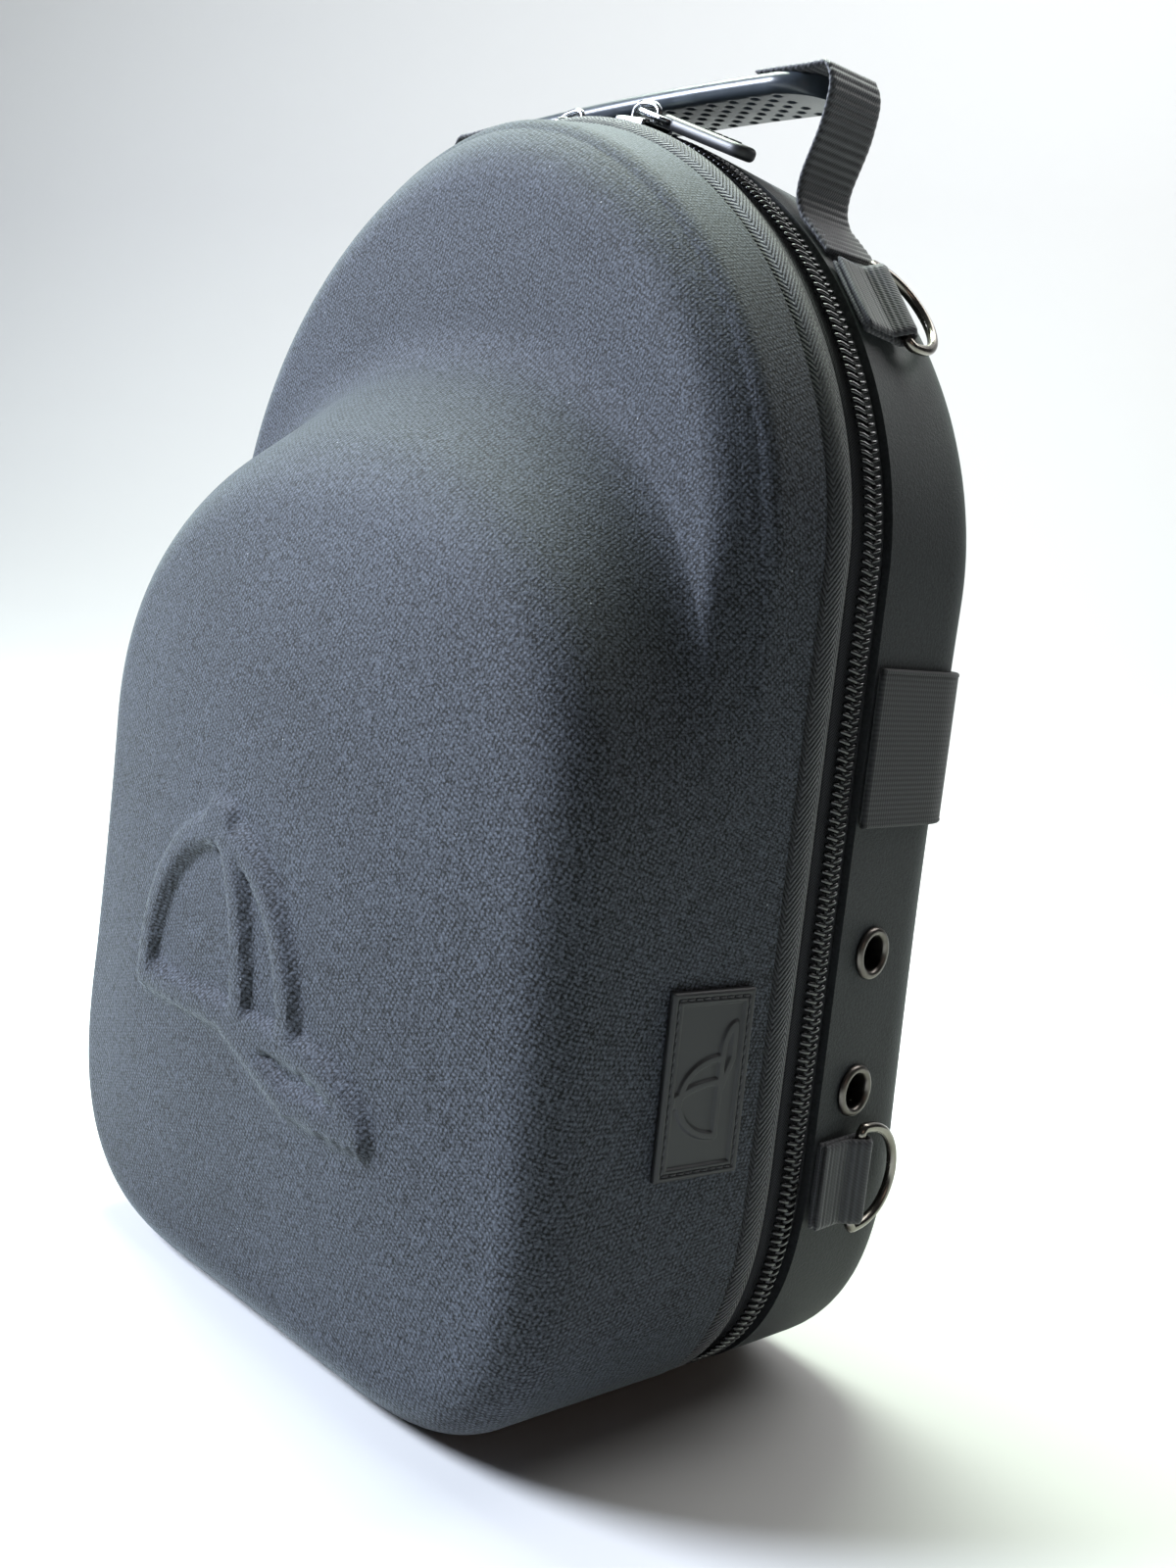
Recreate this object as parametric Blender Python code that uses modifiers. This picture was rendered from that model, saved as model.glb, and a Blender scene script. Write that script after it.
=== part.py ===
"""A moulded carrying case for a baseball cap, standing upright with its cap-shaped shell to the front.

Metres, +Z up, +X to the right seen from the front. The zip runs in one upright plane, the seam plane,
and depths are counted from it: the front shell lies on its -Y side and the back shell on its +Y side.
"""

import math

import bmesh
import bpy
import numpy as np
from mathutils import Matrix, Vector

# Outline of the case in the seam plane: flat bottom, rounded corners, straight sides, arched top
CASE_WIDTH = 0.210
CASE_HEIGHT = 0.300
ARCH_SPRING = 0.196
ARCH_FULLNESS = 1.87
CORNER_REACH = 0.070
CORNER_FULLNESS = 2.8

# Front shell: a shallow brim part, and a deeper crown part below it
SHELL_WALL = 0.004
FRONT_DEPTH = 0.071
FACE_BULGE = 0.008
BRIM_DEPTH = 0.037
SIDE_DRAFT = 0.115
TOP_DRAFT = 0.200
CROWN_CENTRE = 0.136
CROWN_FOOT_TOP = 0.237
CROWN_FACE_TOP = 0.210
CROWN_FULLNESS = 2.2
BRIM_EDGE_REACH = 0.018
CROWN_FOOT_REACH = 0.009
CROWN_EDGE_REACH = 0.019

# Back shell: a shallow tray with a flat back
BACK_DEPTH = 0.045
BACK_DRAFT = 0.090
BACK_EDGE_REACH = 0.014

# Clearances: neighbours that touch, and pieces that turn
GAP = 0.0003
RUNNING_GAP = 0.0005

# Seam: piping beside the front shell, then the zip's tape with its coil
PIPING_DIAMETER = 0.0084
FRONT_RIM_GAP = 0.0006
TAPE_FRONT = 0.0050
TAPE_BACK = 0.0057
TAPE_THICKNESS = 0.0010
TAPE_SINK = 0.0027
CHAIN_WIDTH = 0.0068
CHAIN_THICKNESS = 0.0017
ZIP_STOP_X = 0.040

# Zip sliders and their pulls
SLIDER_LEFT_X = -0.009
SLIDER_RIGHT_X = 0.018
SLIDER_LENGTH = 0.011
SLIDER_WALL = 0.0011
SLIDER_CHAIN_GAP = 0.0006
BRIDGE_HEIGHT = 0.0048
BRIDGE_SPAN = 0.0088
BRIDGE_WIRE = 0.0017
PULL_AXIS_HEIGHT = 0.0019
LINK_WIRE = 0.0015
LINK_LENGTH = 0.0105
LINK_WIDTH = 0.0062
PULL_TAB_LENGTH = 0.031
PULL_TAB_WIDTH = 0.0075
PULL_TAB_THICKNESS = 0.0032
PULL_NECK_LENGTH = 0.0036

# Handle: a moulded grip carried by a strap at each end
HANDLE_DEPTH = 0.0165
GRIP_LENGTH = 0.124
GRIP_WIDTH = 0.022
GRIP_THICKNESS = 0.0048
GRIP_UNDERSIDE = 0.3025
GRIP_RISE = 0.0016
STRAP_WIDTH = 0.018
STRAP_THICKNESS = 0.0013
STRAP_FOOT_LENGTH = 0.013
STRAP_WAIST_RISE = 0.006
STRAP_END_BULGE = 0.0075
STRAP_TOP_LAP = 0.016

# D-rings in folded webbing tabs on the sides of the back shell
TAB_WIDTH = 0.020
TAB_THICKNESS = 0.0012
TAB_LOWER_HEIGHT = 0.060
TAB_UPPER_HEIGHT = 0.256
TAB_REACH = 0.0135
RING_WIRE = 0.0024
RING_INNER_WIDTH = 0.0214
RING_INNER_DEPTH = 0.0125

# Elastic band round the back shell
BAND_WIDTH = 0.035
BAND_THICKNESS = 0.0012
BAND_HEIGHT = 0.159
BAND_SEAT = 0.0006

# Eyelets through the sides of the back shell
EYELET_HEIGHTS = {"upper": 0.112, "lower": 0.0795}
EYELET_DEPTH = 0.0185
EYELET_HOLE = 0.0080
EYELET_OUTER = 0.0122
EYELET_BARREL_WALL = 0.0007
EYELET_RISE = 0.0012

# Rubber label on the right side of the front shell
LABEL_LENGTH = 0.040
LABEL_WIDTH = 0.0222
LABEL_THICKNESS = 0.0018
LABEL_BORDER = 0.0022
LABEL_HEIGHT = 0.0865
LABEL_DEPTH = 0.031

# How finely the surfaces are divided
HALF_OUTLINE_STEPS = 28
FRONT_PROFILE_STEPS = 21
BACK_PROFILE_STEPS = 8
SEAM_STEPS = 56
FINE = 240
BEND_WEIGHT = 0.022
ROUND_SIDES = 16
WIRE_RESOLUTION = 1

# The seam plane is upright: local X, Y, Z become world X, Z, -Y
UPRIGHT = Matrix.Rotation(math.pi / 2, 4, "X")
SIDES = {"left": -1, "right": 1}


def rim_depth_front():
    """Depth at which the front shell ends, just in front of the piping."""
    return TAPE_FRONT + GAP + PIPING_DIAMETER + FRONT_RIM_GAP


def rim_depth_back():
    """Depth at which the back shell ends, just behind the tape."""
    return TAPE_BACK + GAP


def smooth_share(value):
    """0 to 1 with no kink at either end."""
    share = np.clip(value, 0, 1)
    return share * share * (3 - 2 * share)


def path_lengths(points):
    """Distance along a path at each of its points."""
    steps = np.linalg.norm(np.diff(points, axis=0), axis=1)
    return np.concatenate([[0], np.cumsum(steps)])


def at_lengths(points, lengths):
    """Points of a path at given distances along it."""
    along = path_lengths(points)
    return np.stack([np.interp(lengths, along, points[:, k]) for k in range(points.shape[1])], axis=1)


def resampled(points, steps):
    """The path in equal steps."""
    return at_lengths(points, np.linspace(0, path_lengths(points)[-1], steps + 1))


def rounded(corners, reaches, steps=FINE):
    """The path through the corners, each one rounded off over its own reach on both sides.

    Each point is the mean of the straight path over its reach before and after it.
    """
    corners = np.asarray(corners, float)
    stations = path_lengths(corners)
    total = stations[-1]
    along = np.linspace(0, total, steps + 1)
    reach = np.interp(along, stations, reaches)
    reach = np.minimum(np.minimum(reach, along), total - along)
    dense = at_lengths(corners, along)
    halves = (dense[1:] + dense[:-1]) / 2 * (total / steps)
    sums = np.concatenate([[[0] * corners.shape[1]], np.cumsum(halves, axis=0)])
    result = dense.copy()
    inside = reach > total / steps
    for k in range(corners.shape[1]):
        after = np.interp(along + reach, along, sums[:, k])
        before = np.interp(along - reach, along, sums[:, k])
        result[inside, k] = ((after - before)[inside]) / (2 * reach[inside])
    return result


def spaced_by_bend(points, steps):
    """The path in steps that are short where it bends."""
    pieces = np.diff(points, axis=0)
    headings = np.unwrap(np.arctan2(pieces[:, 1], pieces[:, 0]))
    turns = np.abs(np.diff(headings, prepend=headings[0]))
    costs = np.concatenate([[0], np.cumsum(np.linalg.norm(pieces, axis=1) + BEND_WEIGHT * turns)])
    wanted = np.linspace(0, costs[-1], steps + 1)
    return np.stack([np.interp(wanted, costs, points[:, k]) for k in range(2)], axis=1)


def half_outline():
    """Right half of the case's outline as dense points (x, z), bottom centre to top centre."""
    half = CASE_WIDTH / 2
    turn = np.linspace(0, math.pi / 2, FINE)
    corner = np.stack(
        [
            half - CORNER_REACH + CORNER_REACH * np.sin(turn) ** (2 / CORNER_FULLNESS),
            CORNER_REACH - CORNER_REACH * np.cos(turn).clip(0) ** (2 / CORNER_FULLNESS),
        ],
        axis=1,
    )
    arch = np.stack(
        [
            half * np.cos(turn).clip(0) ** (2 / ARCH_FULLNESS),
            ARCH_SPRING + (CASE_HEIGHT - ARCH_SPRING) * np.sin(turn) ** (2 / ARCH_FULLNESS),
        ],
        axis=1,
    )
    return np.concatenate([[[0, 0]], corner, arch])


def outline_normals(points, closed=False):
    """Outward unit normals of an outline that runs anticlockwise seen from the front."""
    if closed:
        along = np.roll(points, -1, axis=0) - np.roll(points, 1, axis=0)
    else:
        along = np.gradient(points, axis=0)
    normals = np.stack([along[:, 1], -along[:, 0]], axis=1)
    return normals / np.linalg.norm(normals, axis=1)[:, None]


def whole_outline(inset=0.0, steps=SEAM_STEPS):
    """The closed outline, moved inwards by inset, as points (x, z) from the bottom centre."""
    right = half_outline()
    left = right[::-1] * [-1, 1]
    points = resampled(np.concatenate([right, left[1:]]), steps)[:-1]
    return points - outline_normals(points, closed=True) * inset


def zip_path(inset):
    """The outline from one zip stop over the top to the other, moved inwards by inset."""
    right = half_outline()
    stop = int(np.argmax(right[:, 0] > ZIP_STOP_X))
    right = np.concatenate([[[ZIP_STOP_X, 0]], right[stop:]])
    points = resampled(np.concatenate([right, right[::-1][1:] * [-1, 1]]), SEAM_STEPS)
    return points - outline_normals(points) * inset


def outline_place(side, x=None, z=None):
    """(point, outward normal) of the outline's upper half where it has this x, or its side at this z."""
    points = half_outline()
    normals = outline_normals(points)
    if z is None:
        upper = points[:, 1] > ARCH_SPRING
        order = np.argsort(points[upper, 0])
        columns = np.concatenate([points, normals], axis=1)[upper][order]
        place = [np.interp(abs(x), columns[:, 0], columns[:, k]) for k in range(4)]
    else:
        columns = np.concatenate([points, normals], axis=1)
        place = [np.interp(z, columns[:, 1], columns[:, k]) for k in range(4)]
    point = Vector((side * place[0], 0, place[1]))
    normal = Vector((side * place[2], 0, place[3])).normalized()
    return point, normal


def draft_share(height):
    """The walls' draft fades out in the bottom corners, so the bottom is flat."""
    return smooth_share(height / CORNER_REACH)


def crown_radius(across, up, half_width, height):
    """Distance from the crown's centre to its outline in one direction."""
    share = (across / half_width) ** CROWN_FULLNESS + (up / height) ** CROWN_FULLNESS
    return share ** (-1 / CROWN_FULLNESS)


def front_profile(rim, direction):
    """One section of the front shell's surface, rim to centre, as points (distance, depth)."""
    radius = np.linalg.norm(rim - [0, CROWN_CENTRE])
    across, up = abs(direction[0]), direction[1]
    draft = (SIDE_DRAFT + (TOP_DRAFT - SIDE_DRAFT) * max(up, 0) ** 2) * draft_share(rim[1])
    edge = radius - draft * BRIM_DEPTH
    face = radius - draft * FRONT_DEPTH
    foot = edge
    if up > 0:
        half = CASE_WIDTH / 2
        foot_height = CROWN_FOOT_TOP - CROWN_CENTRE
        face_height = CROWN_FACE_TOP - CROWN_CENTRE
        foot = min(edge, crown_radius(across, up, half - SIDE_DRAFT * BRIM_DEPTH, foot_height))
        face = min(face, crown_radius(across, up, half - SIDE_DRAFT * FRONT_DEPTH, face_height))
    start = rim_depth_front()
    corners = [(radius - draft * start, start), (edge, BRIM_DEPTH), (foot, BRIM_DEPTH), (face, FRONT_DEPTH)]
    inward = np.linspace(1, 0, 24)[1:]
    bulge = [(face * share, FRONT_DEPTH + FACE_BULGE * (1 - share**2)) for share in inward]
    reaches = [BRIM_EDGE_REACH, BRIM_EDGE_REACH, CROWN_FOOT_REACH, CROWN_EDGE_REACH]
    return rounded(corners + bulge, reaches + [CROWN_EDGE_REACH] * len(bulge))


def back_profile(rim, direction):
    """One section of the back shell's surface, rim to centre, as points (distance, depth)."""
    radius = np.linalg.norm(rim - [0, CROWN_CENTRE])
    draft = BACK_DRAFT * draft_share(rim[1])
    start = rim_depth_back()
    corners = [(radius - draft * start, start), (radius - draft * BACK_DEPTH, BACK_DEPTH), (0, BACK_DEPTH)]
    return rounded(corners, [BACK_EDGE_REACH] * 3)


def wall_point(side, height, depth, draft, sign):
    """A point of a shell's outer wall: below the outline at this height, this far from the seam plane."""
    centre = Vector((0, 0, CROWN_CENTRE))
    rim, _ = outline_place(side, z=height)
    spoke = rim - centre
    radius = spoke.length - draft * float(draft_share(height)) * depth
    return centre + spoke.normalized() * radius + Vector((0, sign * depth, 0))


def wall_frame(side, height, depth, draft, sign):
    """A place on a shell's wall: local Z points out of it, local Y along the seam and mostly up."""
    origin = wall_point(side, height, depth, draft, sign)
    step = 0.001
    along = wall_point(side, height + step, depth, draft, sign) - origin
    deeper = wall_point(side, height, depth + step, draft, sign) - origin
    out = (along.cross(deeper) * side * -sign).normalized()
    along = (along - out * along.dot(out)).normalized()
    matrix = Matrix((along.cross(out), along, out)).transposed().to_4x4()
    matrix.translation = origin
    return matrix


def move_to(collection, obj):
    """Links an object to one collection only."""
    for other in list(obj.users_collection):
        other.objects.unlink(obj)
    collection.objects.link(obj)


def place(obj, matrix):
    """Sets an object's place within the case."""
    obj.parent = bpy.data.objects["case_origin"]
    obj.matrix_basis = matrix


def add_mesh(name, build, matrix=Matrix(), collection="cap_case"):
    """An object from a mesh that build(bm) makes."""
    mesh = bpy.data.meshes.new(name)
    bm = bmesh.new()
    build(bm)
    bm.to_mesh(mesh)
    bm.free()
    obj = bpy.data.objects.new(name, mesh)
    bpy.data.collections[collection].objects.link(obj)
    place(obj, matrix)
    return obj


def add_curve(name, points, cyclic=False, flat=True, matrix=Matrix()):
    """A curve object with one poly spline."""
    curve = bpy.data.curves.new(name, "CURVE")
    curve.dimensions = "2D" if flat else "3D"
    spline = curve.splines.new("POLY")
    spline.points.add(len(points) - 1)
    for target, point in zip(spline.points, points):
        target.co = (*point, 0, 1) if flat else (*point, 1)
    spline.use_cyclic_u = cyclic
    obj = bpy.data.objects.new(name, curve)
    bpy.data.collections["cap_case"].objects.link(obj)
    place(obj, matrix)
    return obj


def add_ribbon(name, points, width, thickness, cyclic=False, matrix=Matrix()):
    """A band that stands on a flat path: width across the path's plane, thickness centred on the path."""
    obj = add_curve(name, points, cyclic, matrix=matrix)
    obj.data.fill_mode = "NONE"
    obj.data.extrude = width / 2
    solidify = obj.modifiers.new("thickness", "SOLIDIFY")
    solidify.thickness = thickness
    solidify.offset = 0
    solidify.use_even_offset = True
    return obj


def add_plate(name, points, thickness, matrix=Matrix()):
    """A flat outline with a thickness."""
    obj = add_curve(name, points, cyclic=True, matrix=matrix)
    obj.data.fill_mode = "BOTH"
    obj.data.extrude = thickness / 2
    return obj


def add_wire(name, points, diameter, cyclic=False, matrix=Matrix(), resolution=WIRE_RESOLUTION):
    """A round wire along a path."""
    obj = add_curve(name, points, cyclic, flat=False, matrix=matrix)
    obj.data.bevel_depth = diameter / 2
    obj.data.bevel_resolution = resolution
    obj.data.use_fill_caps = not cyclic
    return obj


def as_mesh(obj):
    """The same object with its curve turned into a welded mesh."""
    graph = bpy.context.evaluated_depsgraph_get()
    mesh = bpy.data.meshes.new_from_object(obj.evaluated_get(graph))
    bm = bmesh.new()
    bm.from_mesh(mesh)
    bmesh.ops.remove_doubles(bm, verts=bm.verts, dist=0.00001)
    bmesh.ops.recalc_face_normals(bm, faces=bm.faces)
    bm.to_mesh(mesh)
    bm.free()
    name = obj.name
    collection = obj.users_collection[0]
    matrix = obj.matrix_basis.copy()
    bpy.data.objects.remove(obj)
    mesh.name = name
    made = bpy.data.objects.new(name, mesh)
    collection.objects.link(made)
    place(made, matrix)
    return made


def add_cutter_cylinder(name, diameter, length, matrix):
    """A round cutter along its local Z axis."""

    def build(bm):
        bmesh.ops.create_cone(
            bm, cap_ends=True, segments=ROUND_SIDES, radius1=diameter / 2, radius2=diameter / 2, depth=length
        )

    cutter = add_mesh(name, build, matrix, "cutters")
    cutter.hide_render = True
    cutter.display_type = "WIRE"
    return cutter


def boolean(obj, other, operation):
    """Cuts or joins another mesh object."""
    modifier = obj.modifiers.new(other.name, "BOOLEAN")
    modifier.object = other
    modifier.operation = operation
    modifier.solver = "EXACT"


def hide_helper(obj):
    """Keeps a joined piece out of the model's own objects."""
    move_to(bpy.data.collections["cutters"], obj)
    obj.hide_render = True
    obj.display_type = "WIRE"


def finish(obj, color, roughness, metallic=0.0, smooth=True):
    """Gives a piece its material and shading."""
    material = bpy.data.materials.new(obj.name)
    material.use_nodes = True
    shader = material.node_tree.nodes["Principled BSDF"]
    shader.inputs["Base Color"].default_value = (*color, 1)
    shader.inputs["Roughness"].default_value = roughness
    shader.inputs["Metallic"].default_value = metallic
    obj.data.materials.clear()
    obj.data.materials.append(material)
    if smooth and obj.type == "MESH":
        obj.data.shade_smooth()
        obj.data.set_sharp_from_angle(angle=math.radians(40))


def knit(obj):
    finish(obj, (0.022, 0.025, 0.030), 0.85)


def webbing(obj):
    finish(obj, (0.016, 0.017, 0.018), 0.80, smooth=False)


def dark_metal(obj):
    finish(obj, (0.30, 0.30, 0.31), 0.30, metallic=1.0)


def rubber(obj):
    finish(obj, (0.030, 0.030, 0.032), 0.55)


def build_shell(name, profile, steps, depth_sign):
    """Half of a shell's surface, lofted through one section for each outline point, mirrored and thickened."""
    rims = resampled(half_outline(), HALF_OUTLINE_STEPS)
    rims[0, 0] = 0
    rims[-1, 0] = 0
    centre = np.array([0, CROWN_CENTRE])

    def build(bm):
        sections = []
        for rim in rims:
            direction = (rim - centre) / np.linalg.norm(rim - centre)
            section = spaced_by_bend(profile(rim, direction), steps)
            row = []
            for distance, depth in section[:-1]:
                x, z = centre + direction * distance
                row.append(bm.verts.new((x, depth * depth_sign, z)))
            sections.append(row)
        apex_depth = profile(rims[0], np.array([0.0, -1.0]))[-1, 1]
        apex = bm.verts.new((0, apex_depth * depth_sign, CROWN_CENTRE))
        for row, following in zip(sections[:-1], sections[1:]):
            for k in range(len(row) - 1):
                bm.faces.new((row[k], following[k], following[k + 1], row[k + 1]))
            bm.faces.new((row[-1], following[-1], apex))
        if depth_sign > 0:
            bmesh.ops.reverse_faces(bm, faces=bm.faces)

    shell = add_mesh(name, build)
    mirror = shell.modifiers.new("other half", "MIRROR")
    mirror.use_axis = (True, False, False)
    mirror.merge_threshold = 0.0001
    wall = shell.modifiers.new("wall", "SOLIDIFY")
    wall.thickness = SHELL_WALL
    wall.offset = -1
    wall.use_even_offset = True
    return shell


def build_front_shell():
    knit(build_shell("front_shell", front_profile, FRONT_PROFILE_STEPS, -1))


def build_back_shell():
    shell = build_shell("back_shell", back_profile, BACK_PROFILE_STEPS, 1)
    barrel = EYELET_HOLE + 2 * EYELET_BARREL_WALL
    for level, height in EYELET_HEIGHTS.items():
        for name, side in SIDES.items():
            matrix = wall_frame(side, height, EYELET_DEPTH, BACK_DRAFT, 1)
            cutter = add_cutter_cylinder(
                f"hole_{level}_{name}", barrel + 2 * GAP, 4 * SHELL_WALL, matrix
            )
            boolean(shell, cutter, "DIFFERENCE")
    knit(shell)


def build_eyelets():
    """Turned metal rims: a rounded flange outside the wall and a barrel through it."""
    hole = EYELET_HOLE / 2
    outer = EYELET_OUTER / 2
    barrel = hole + EYELET_BARREL_WALL
    middle = (hole + outer) / 2
    profile = [
        (hole, EYELET_RISE * 0.6),
        (middle, EYELET_RISE),
        (outer - EYELET_RISE * 0.4, EYELET_RISE * 0.7),
        (outer, 0),
        (barrel, 0),
        (barrel, -SHELL_WALL - 2 * GAP),
        (hole, -SHELL_WALL - 2 * GAP),
    ]

    def build(bm):
        ring = [bm.verts.new((radius, 0, rise + GAP)) for radius, rise in profile]
        for k, vert in enumerate(ring):
            bm.edges.new((vert, ring[(k + 1) % len(ring)]))

    for level, height in EYELET_HEIGHTS.items():
        for name, side in SIDES.items():
            matrix = wall_frame(side, height, EYELET_DEPTH, BACK_DRAFT, 1)
            eyelet = add_mesh(f"eyelet_{level}_{name}", build, matrix)
            screw = eyelet.modifiers.new("turned", "SCREW")
            screw.steps = ROUND_SIDES
            screw.render_steps = ROUND_SIDES
            screw.use_merge_vertices = True
            screw.merge_threshold = 0.00001
            screw.use_smooth_shade = True
            finish(eyelet, (0.12, 0.11, 0.10), 0.35, metallic=1.0, smooth=False)


def build_piping():
    """A round cord cover along the whole seam, between the front shell and the zip."""
    depth = TAPE_FRONT + GAP + PIPING_DIAMETER / 2
    outline = whole_outline(PIPING_DIAMETER / 2 + GAP)
    points = [(x, z, depth) for x, z in outline]
    piping = add_wire("piping", points, PIPING_DIAMETER, cyclic=True, matrix=UPRIGHT, resolution=2)
    finish(piping, (0.020, 0.021, 0.022), 0.80)


def build_zip():
    """The tape with its coil from stop to stop, and the plain strip that hinges the shells below."""
    width = TAPE_FRONT + TAPE_BACK
    middle = Matrix.Translation((0, (TAPE_BACK - TAPE_FRONT) / 2, 0)) @ UPRIGHT
    tape = add_ribbon("zip_tape", zip_path(TAPE_SINK), width, TAPE_THICKNESS, matrix=middle)
    webbing(tape)
    chain_inset = TAPE_SINK - (TAPE_THICKNESS + CHAIN_THICKNESS) / 2 - GAP
    chain = add_ribbon("zip_chain", zip_path(chain_inset), CHAIN_WIDTH, CHAIN_THICKNESS, matrix=UPRIGHT)
    finish(chain, (0.012, 0.012, 0.013), 0.30)
    end = ZIP_STOP_X - GAP
    strip_path = [(-end, TAPE_SINK), (end, TAPE_SINK)]
    strip = add_ribbon("hinge_strip", strip_path, width, TAPE_THICKNESS, matrix=middle)
    webbing(strip)


def slider_frame(x):
    """Place on the chain's crest at this x: local X along the zip to the right, local Z outwards."""
    side = 1 if x > 0 else -1
    point, normal = outline_place(side, x=x)
    along = Vector((normal.z, 0, -normal.x))
    matrix = Matrix((along, normal.cross(along), normal)).transposed().to_4x4()
    matrix.translation = point - normal * chain_crest_inset()
    return matrix


def chain_crest_inset():
    """How far the coil's crest lies inside the case's outline."""
    return TAPE_SINK - TAPE_THICKNESS / 2 - GAP - CHAIN_THICKNESS


def slider_plate_top():
    return SLIDER_CHAIN_GAP + SLIDER_WALL


def bent_loop(length, width, corner, steps=3):
    """A rounded rectangle as points (x, y), from x = 0 to x = length."""
    points = []
    centres = [
        (length - corner, width / 2 - corner),
        (corner, width / 2 - corner),
        (corner, corner - width / 2),
        (length - corner, corner - width / 2),
    ]
    for quarter, (x, y) in enumerate(centres):
        for k in range(steps + 1):
            angle = (quarter + k / steps) * math.pi / 2
            points.append((x + corner * math.cos(angle), y + corner * math.sin(angle)))
    return points


def build_slider(name, x):
    """A channel over the coil with a wire bridge on top."""
    inner = CHAIN_WIDTH / 2 + SLIDER_CHAIN_GAP
    outer = inner + SLIDER_WALL
    low = GAP - CHAIN_THICKNESS
    top = slider_plate_top()
    soft = SLIDER_WALL * 0.7
    section = [
        (-outer, low),
        (-inner, low),
        (-inner, SLIDER_CHAIN_GAP),
        (inner, SLIDER_CHAIN_GAP),
        (inner, low),
        (outer, low),
        (outer, top - soft),
        (outer - soft, top),
        (soft - outer, top),
        (-outer, top - soft),
    ]
    frame = slider_frame(x)
    across = Matrix.Rotation(math.pi / 2, 4, "Z") @ Matrix.Rotation(math.pi / 2, 4, "X")
    channel = as_mesh(add_plate(name, section, SLIDER_LENGTH, frame @ across))
    half = BRIDGE_SPAN / 2
    rise = BRIDGE_HEIGHT - BRIDGE_WIRE / 2
    corners = [(-half, top - SLIDER_WALL / 2), (-half, top + rise), (half, top + rise), (half, top - SLIDER_WALL / 2)]
    bow = resampled(rounded(corners, [0, rise * 0.8, rise * 0.8, 0]), 12)
    upright = Matrix.Rotation(math.pi / 2, 4, "X")
    bridge = as_mesh(add_wire(f"{name}_bridge", [(u, v, 0) for u, v in bow], BRIDGE_WIRE, matrix=frame @ upright))
    boolean(channel, bridge, "UNION")
    hide_helper(bridge)
    dark_metal(channel)


def pull_frame(x, side):
    """The pull's hinge: origin under the bridge, local Y along the hinge, local X along the pull at rest.

    At rest the pull lies down on the arch of the case, its rubber tab just clear of the coil.
    """
    frame = slider_frame(x)
    axis = frame @ Vector((0, 0, slider_plate_top() + PULL_AXIS_HEIGHT))
    reach = LINK_LENGTH + PULL_TAB_LENGTH - PULL_NECK_LENGTH
    outline = np.concatenate([half_outline(), half_outline()[::-1][1:] * [-1, 1]])
    lengths = path_lengths(outline)
    seat = outline + outline_normals(outline) * (PULL_TAB_THICKNESS / 2 + RUNNING_GAP)
    start = lengths[np.argmin(np.linalg.norm(outline - [axis.x, axis.z], axis=1))]
    away = (start - lengths) * side
    steps = seat[(away > LINK_LENGTH / 2) & (away < reach)] - [axis.x, axis.z]
    angles = np.arctan2(steps[:, 1], steps[:, 0] * side)
    angle = angles.max()
    along = Vector((side * math.cos(angle), 0, math.sin(angle)))
    hinge = Vector((0, 1, 0))
    matrix = Matrix((along, hinge, along.cross(hinge))).transposed().to_4x4()
    matrix.translation = axis
    return matrix


def build_pull(name, x, side):
    """A wire link through the slider's bridge, and a rubber tab hung on the link."""
    frame = pull_frame(x, side)
    loop = bent_loop(LINK_LENGTH, LINK_WIDTH, LINK_WIRE * 1.1)
    link = add_wire(f"pull_link_{name}", [(u, v, 0) for u, v in loop], LINK_WIRE, cyclic=True, matrix=frame)
    dark_metal(link)
    neck = (LINK_WIDTH - LINK_WIRE) / 2 - RUNNING_GAP
    half = PULL_TAB_WIDTH / 2
    start = LINK_LENGTH - LINK_WIRE * 1.6 - RUNNING_GAP
    shoulder = LINK_LENGTH + LINK_WIRE / 2 + RUNNING_GAP
    end = start + PULL_TAB_LENGTH
    right = [(start, neck * 0.6), (start + neck * 0.4, neck), (shoulder, neck), (shoulder + neck, half)]
    steps = 5
    tip = [(end - half + half * math.sin(k / steps * math.pi / 2), half * math.cos(k / steps * math.pi / 2))
           for k in range(steps)]
    upper = right + tip
    outline = upper + [(end, 0)] + [(u, -v) for u, v in reversed(upper)]
    tab = as_mesh(add_plate(f"pull_tab_{name}", outline, PULL_TAB_THICKNESS, frame))
    along_y = Matrix.Rotation(math.pi / 2, 4, "X")
    hole = add_cutter_cylinder(
        f"pull_hole_{name}",
        LINK_WIRE + 2 * GAP,
        PULL_TAB_WIDTH * 2,
        frame @ Matrix.Translation((LINK_LENGTH, 0, 0)) @ along_y,
    )
    bevel = tab.modifiers.new("soft edges", "BEVEL")
    bevel.width = PULL_TAB_THICKNESS * 0.22
    bevel.segments = 1
    boolean(tab, hole, "DIFFERENCE")
    rubber(tab)


def build_sliders():
    for name, x in (("left", SLIDER_LEFT_X), ("right", SLIDER_RIGHT_X)):
        build_slider(f"slider_{name}", x)
        build_pull(name, x, SIDES[name])


def grip_section():
    """Section of the grip as points (depth, height), flat below with rounded edges."""
    half = GRIP_WIDTH / 2
    soft = GRIP_THICKNESS / 2
    points = []
    for k in range(5):
        angle = -math.pi / 2 + k / 4 * math.pi
        points.append((half - soft + soft * math.cos(angle), soft + soft * math.sin(angle)))
    return points + [(-y, z) for y, z in reversed(points)]


def grip_rise(x):
    """Height of the grip's underside above its ends, a shallow bow."""
    return GRIP_RISE * (1 - (2 * x / GRIP_LENGTH) ** 2)


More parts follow.
